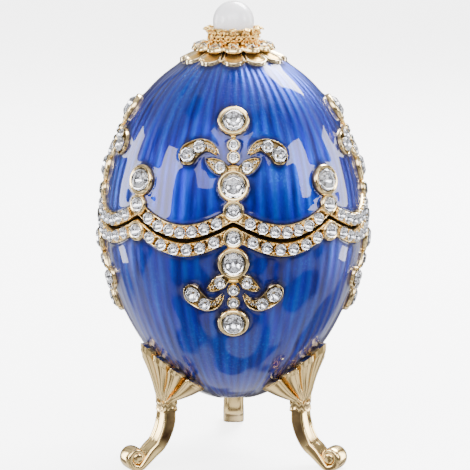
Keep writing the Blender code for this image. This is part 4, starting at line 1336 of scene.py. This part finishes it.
def buildCup():
    # open basket of spiral wires and grains round an inner cup painted dark with shade, with curled leaf tips
    # at the rim
    look = finialLook
    rim, foot = look["cupRim"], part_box("filigree_cup")[0].z
    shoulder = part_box("crystal_collar")[1].z - look["tierSink"] - 0.25 * mm
    seat = look["pearlRadius"] + 0.12 * mm
    body = smoothPath((
        (look["cupFoot"] - 0.1 * mm, foot),
        (look["cupFoot"] - 0.1 * mm, shoulder - 0.3 * mm),
        (4.1 * mm, shoulder + 0.1 * mm),
        (4.6 * mm, (rim + shoulder) / 2),
        (4.45 * mm, rim - 0.45 * mm),
        (4.25 * mm, rim - 0.35 * mm),
    ), 4)
    depth = np.linspace(0.98, 0.05, 8) * math.acos((look["pearlHeight"] - rim + 0.4 * mm) / seat)
    hollow = np.stack((seat * np.sin(depth), look["pearlHeight"] - seat * np.cos(depth)), -1)
    points = turned(np.concatenate((body, hollow)), look["cupColumns"])
    angle = evenly(look["cupColumns"])
    rows = len(body)
    wobble = 0.12 * mm * np.sin(angle * 14) * np.sin(np.linspace(0, 9, rows))[:, None]
    points[:rows, :, 0] += wobble * np.cos(angle)
    points[:rows, :, 1] += wobble * np.sin(angle)
    # painted shade over the whole inner cup
    shadeMarks = np.full(points.size // 3 + 2, 0.75)
    makePiece("filigreeCup", tube(points), grainGold, ("filigree_cup",), marks={"recess": shadeMarks})
    wires = []
    middle = (rim + shoulder) / 2
    rows = (
        (13, 0.0, 4.35 * mm, shoulder + 0.30 * mm, -0.75, 0.60 * mm),
        (14, 0.5, 4.75 * mm, shoulder + 0.95 * mm, -0.35, 0.64 * mm),
        (14, 0.0, 4.95 * mm, middle + 0.25 * mm, 0.0, 0.66 * mm),
        (12, 0.0, 5.05 * mm, rim - 0.62 * mm, 0.35, 0.60 * mm),
        (12, 0.0, 5.50 * mm, rim - 0.30 * mm, 1.15, 0.58 * mm),
    )
    for count, phase, radius, height, tilt, size in rows:
        coil = scrollPatch(size, 0.17 * mm, 1.6, 26, 6)
        wires.append(repeated(coil, leaningFrames(count, phase, radius, height, tilt)))
    bead = domePatch(1.0, 5, 7)
    seeds = np.random.default_rng(7)
    for count, radius, height, size in (
        (26, 4.85, shoulder + 0.15 * mm, 0.30), (30, 4.95, shoulder + 0.95 * mm, 0.27),
        (30, 5.1, middle + 0.55 * mm, 0.27), (34, 5.0, rim - 0.25 * mm, 0.26),
        (24, 5.55, rim - 0.28 * mm, 0.25),
    ):
        origins, axes = leaningFrames(count, seeds.random(), radius * mm, height, 0.1)
        scatter = seeds.normal(0, 0.10 * mm, (count, 3))
        sizes = size * mm * (0.8 + 0.4 * seeds.random(count))
        wires.append(repeated(bead, (origins + scatter, axes * sizes[:, None, None])))
    tips = leaningFrames(6, 0.0, 5.62 * mm, rim - 0.22 * mm, 0.9)
    leaf = domePatch(1.0, 7, 10)
    stretched = tips[1] * np.array((0.62, 0.40, 0.26)) * mm
    wires.append(repeated(leaf, (tips[0], stretched)))
    makePiece("filigreeWires", joined(wires), grainGold)
    print("filigree cup made")


def buildPearl():
    look = finialLook
    angle = np.linspace(0.01, math.pi - 0.01, 48)
    radius, middle = look["pearlRadius"], look["pearlHeight"]
    profile = np.stack((radius * np.sin(angle), middle + radius * np.cos(angle)), -1)
    makePiece("pearlBead", tube(turned(profile, 96)), nacre, ("pearl",))
    print("pearl made")


lidShadows = buildHalf("lid")
bowlShadows = buildHalf("bowl")
buildCrystals()
buildEnamel("lid", 1, lidShadows, petalBorder)
buildEnamel("bowl", -1, bowlShadows, palmetteBorder)
buildCasting("lid", 1, lidShadows)
buildCasting("bowl", -1, bowlShadows)
buildLegs()
buildPetals()
buildTier()
buildCup()
buildPearl()


# Stage, light and camera

stageLook = {
    "floor": 3.0,
    "floorColour": (0.86, 0.86, 0.87),
    "floorGlow": 4.0,
    "fill": 1.3,
    "backdrop": 8.0,
    "surroundings": ((0.0, 1.6), (0.38, 1.2), (0.46, 0.06), (0.57, 0.05), (0.66, 0.6), (1.0, 1.0)),
    "lampAim": (0, 0, 0.045),
    "flags": 2.3,  # scale of the dark cards that break up the reflections
}

# name, place, size, watts, colour
lamps = (
    ("softboxFront", (-0.04, -0.52, 0.40), (0.66, 0.36), 5.0, (0.98, 0.97, 1.0)),
    ("softboxLeft", (-0.52, -0.26, 0.20), (0.16, 0.34), 2.6, (1.0, 0.99, 1.0)),
    ("softboxRight", (0.56, -0.20, 0.26), (0.14, 0.30), 2.2, (1.0, 0.99, 1.0)),
    ("softboxCrown", (0.20, 0.34, 0.48), (0.40, 0.22), 11.0, (1.0, 1.0, 1.0)),
    ("stripLeft", (-0.48, 0.22, 0.06), (0.10, 0.40), 1.4, (1.0, 1.0, 1.0)),
    ("stripRight", (0.48, 0.22, 0.06), (0.10, 0.40), 1.4, (1.0, 1.0, 1.0)),
)

cameraLook = {
    "aim": (0.0003, 0.0, 0.04504),
    "distance": 0.4168,
    "elevation": 11.0,
    "lens": 159.6,
    "sensor": 36.0,
}


def aimed(item, place, target):
    # turns an object's -Z towards the target
    item.location = place
    away = tuple(a - b for a, b in zip(target, place))
    item.rotation_euler = (math.atan2(math.hypot(away[0], away[1]), -away[2]),
                           0.0, math.atan2(away[1], away[0]) - math.pi / 2)


def buildStage():
    half = stageLook["floor"] / 2
    mesh = bpy.data.meshes.new("floor")
    corners = ((-half, -half, 0), (half, -half, 0), (half, half, 0), (-half, half, 0))
    mesh.from_pydata(corners, (), ((0, 1, 2, 3),))
    material, tree, shader = newMaterial("paleFloor")
    soft = spread(tree, noise(tree, placeOf(tree), 6.0), 0.3, 0.7)
    ground = mixColour(tree, soft, stageLook["floorColour"], (0.84, 0.84, 0.85))
    link(tree, ground, shader.inputs["Base Color"])
    plain(shader, {"Roughness": 0.6, "Emission Color": (1, 1, 1, 1),
                   "Emission Strength": stageLook["floorGlow"]})
    mesh.materials.append(material)
    floor = added("floor", mesh)
    floor.visible_glossy = False
    floor.visible_transmission = False
    floor.visible_diffuse = False
    world = bpy.data.worlds.new("studio")
    world.use_nodes = True
    tree = world.node_tree
    background = tree.nodes["Background"]
    path = node(tree, "ShaderNodeLightPath")
    apart = node(tree, "ShaderNodeSeparateXYZ")
    direction = node(tree, "ShaderNodeTexCoord").outputs["Generated"]
    link(tree, direction, apart.inputs[0])
    ramp = node(tree, "ShaderNodeValToRGB")
    stops = ramp.color_ramp.elements
    while len(stops) < len(stageLook["surroundings"]):
        stops.new(0.5)
    for stop, (position, level) in zip(stops, stageLook["surroundings"]):
        stop.position = position
        stop.color = (level, level, level * 1.02, 1)
    link(tree, spread(tree, apart.outputs["Z"], -1.0, 1.0), ramp.inputs["Fac"])
    cards = noise(tree, direction, stageLook["flags"], 1.0)
    flagged = mixColour(tree, spread(tree, cards, 0.44, 0.50), (0.22, 0.20, 0.19), ramp.outputs["Color"])
    fill = (stageLook["fill"],) * 3
    shade = mixColour(tree, path.outputs["Is Diffuse Ray"], flagged, fill)
    shade = mixColour(tree, path.outputs["Is Camera Ray"], shade, (stageLook["backdrop"],) * 3)
    link(tree, shade, background.inputs["Color"])
    bpy.context.scene.world = world
    for name, place, size, watts, colour in lamps:
        data = bpy.data.lights.new(name, "AREA")
        data.shape = "RECTANGLE"
        data.size, data.size_y = size
        data.energy = watts
        data.color = colour
        aimed(added(name, data), place, stageLook["lampAim"])


def buildCamera():
    look = cameraLook
    rise = math.radians(look["elevation"])
    x, y, z = look["aim"]
    data = bpy.data.cameras.new("camera")
    data.sensor_width = look["sensor"]
    data.lens = look["lens"]
    data.clip_start, data.clip_end = 0.01, 10.0
    camera = added("camera", data)
    place = (x, y - look["distance"] * math.cos(rise), z + look["distance"] * math.sin(rise))
    aimed(camera, place, look["aim"])
    bpy.context.scene.camera = camera


buildStage()
buildCamera()
print("stage, lights and camera ready")
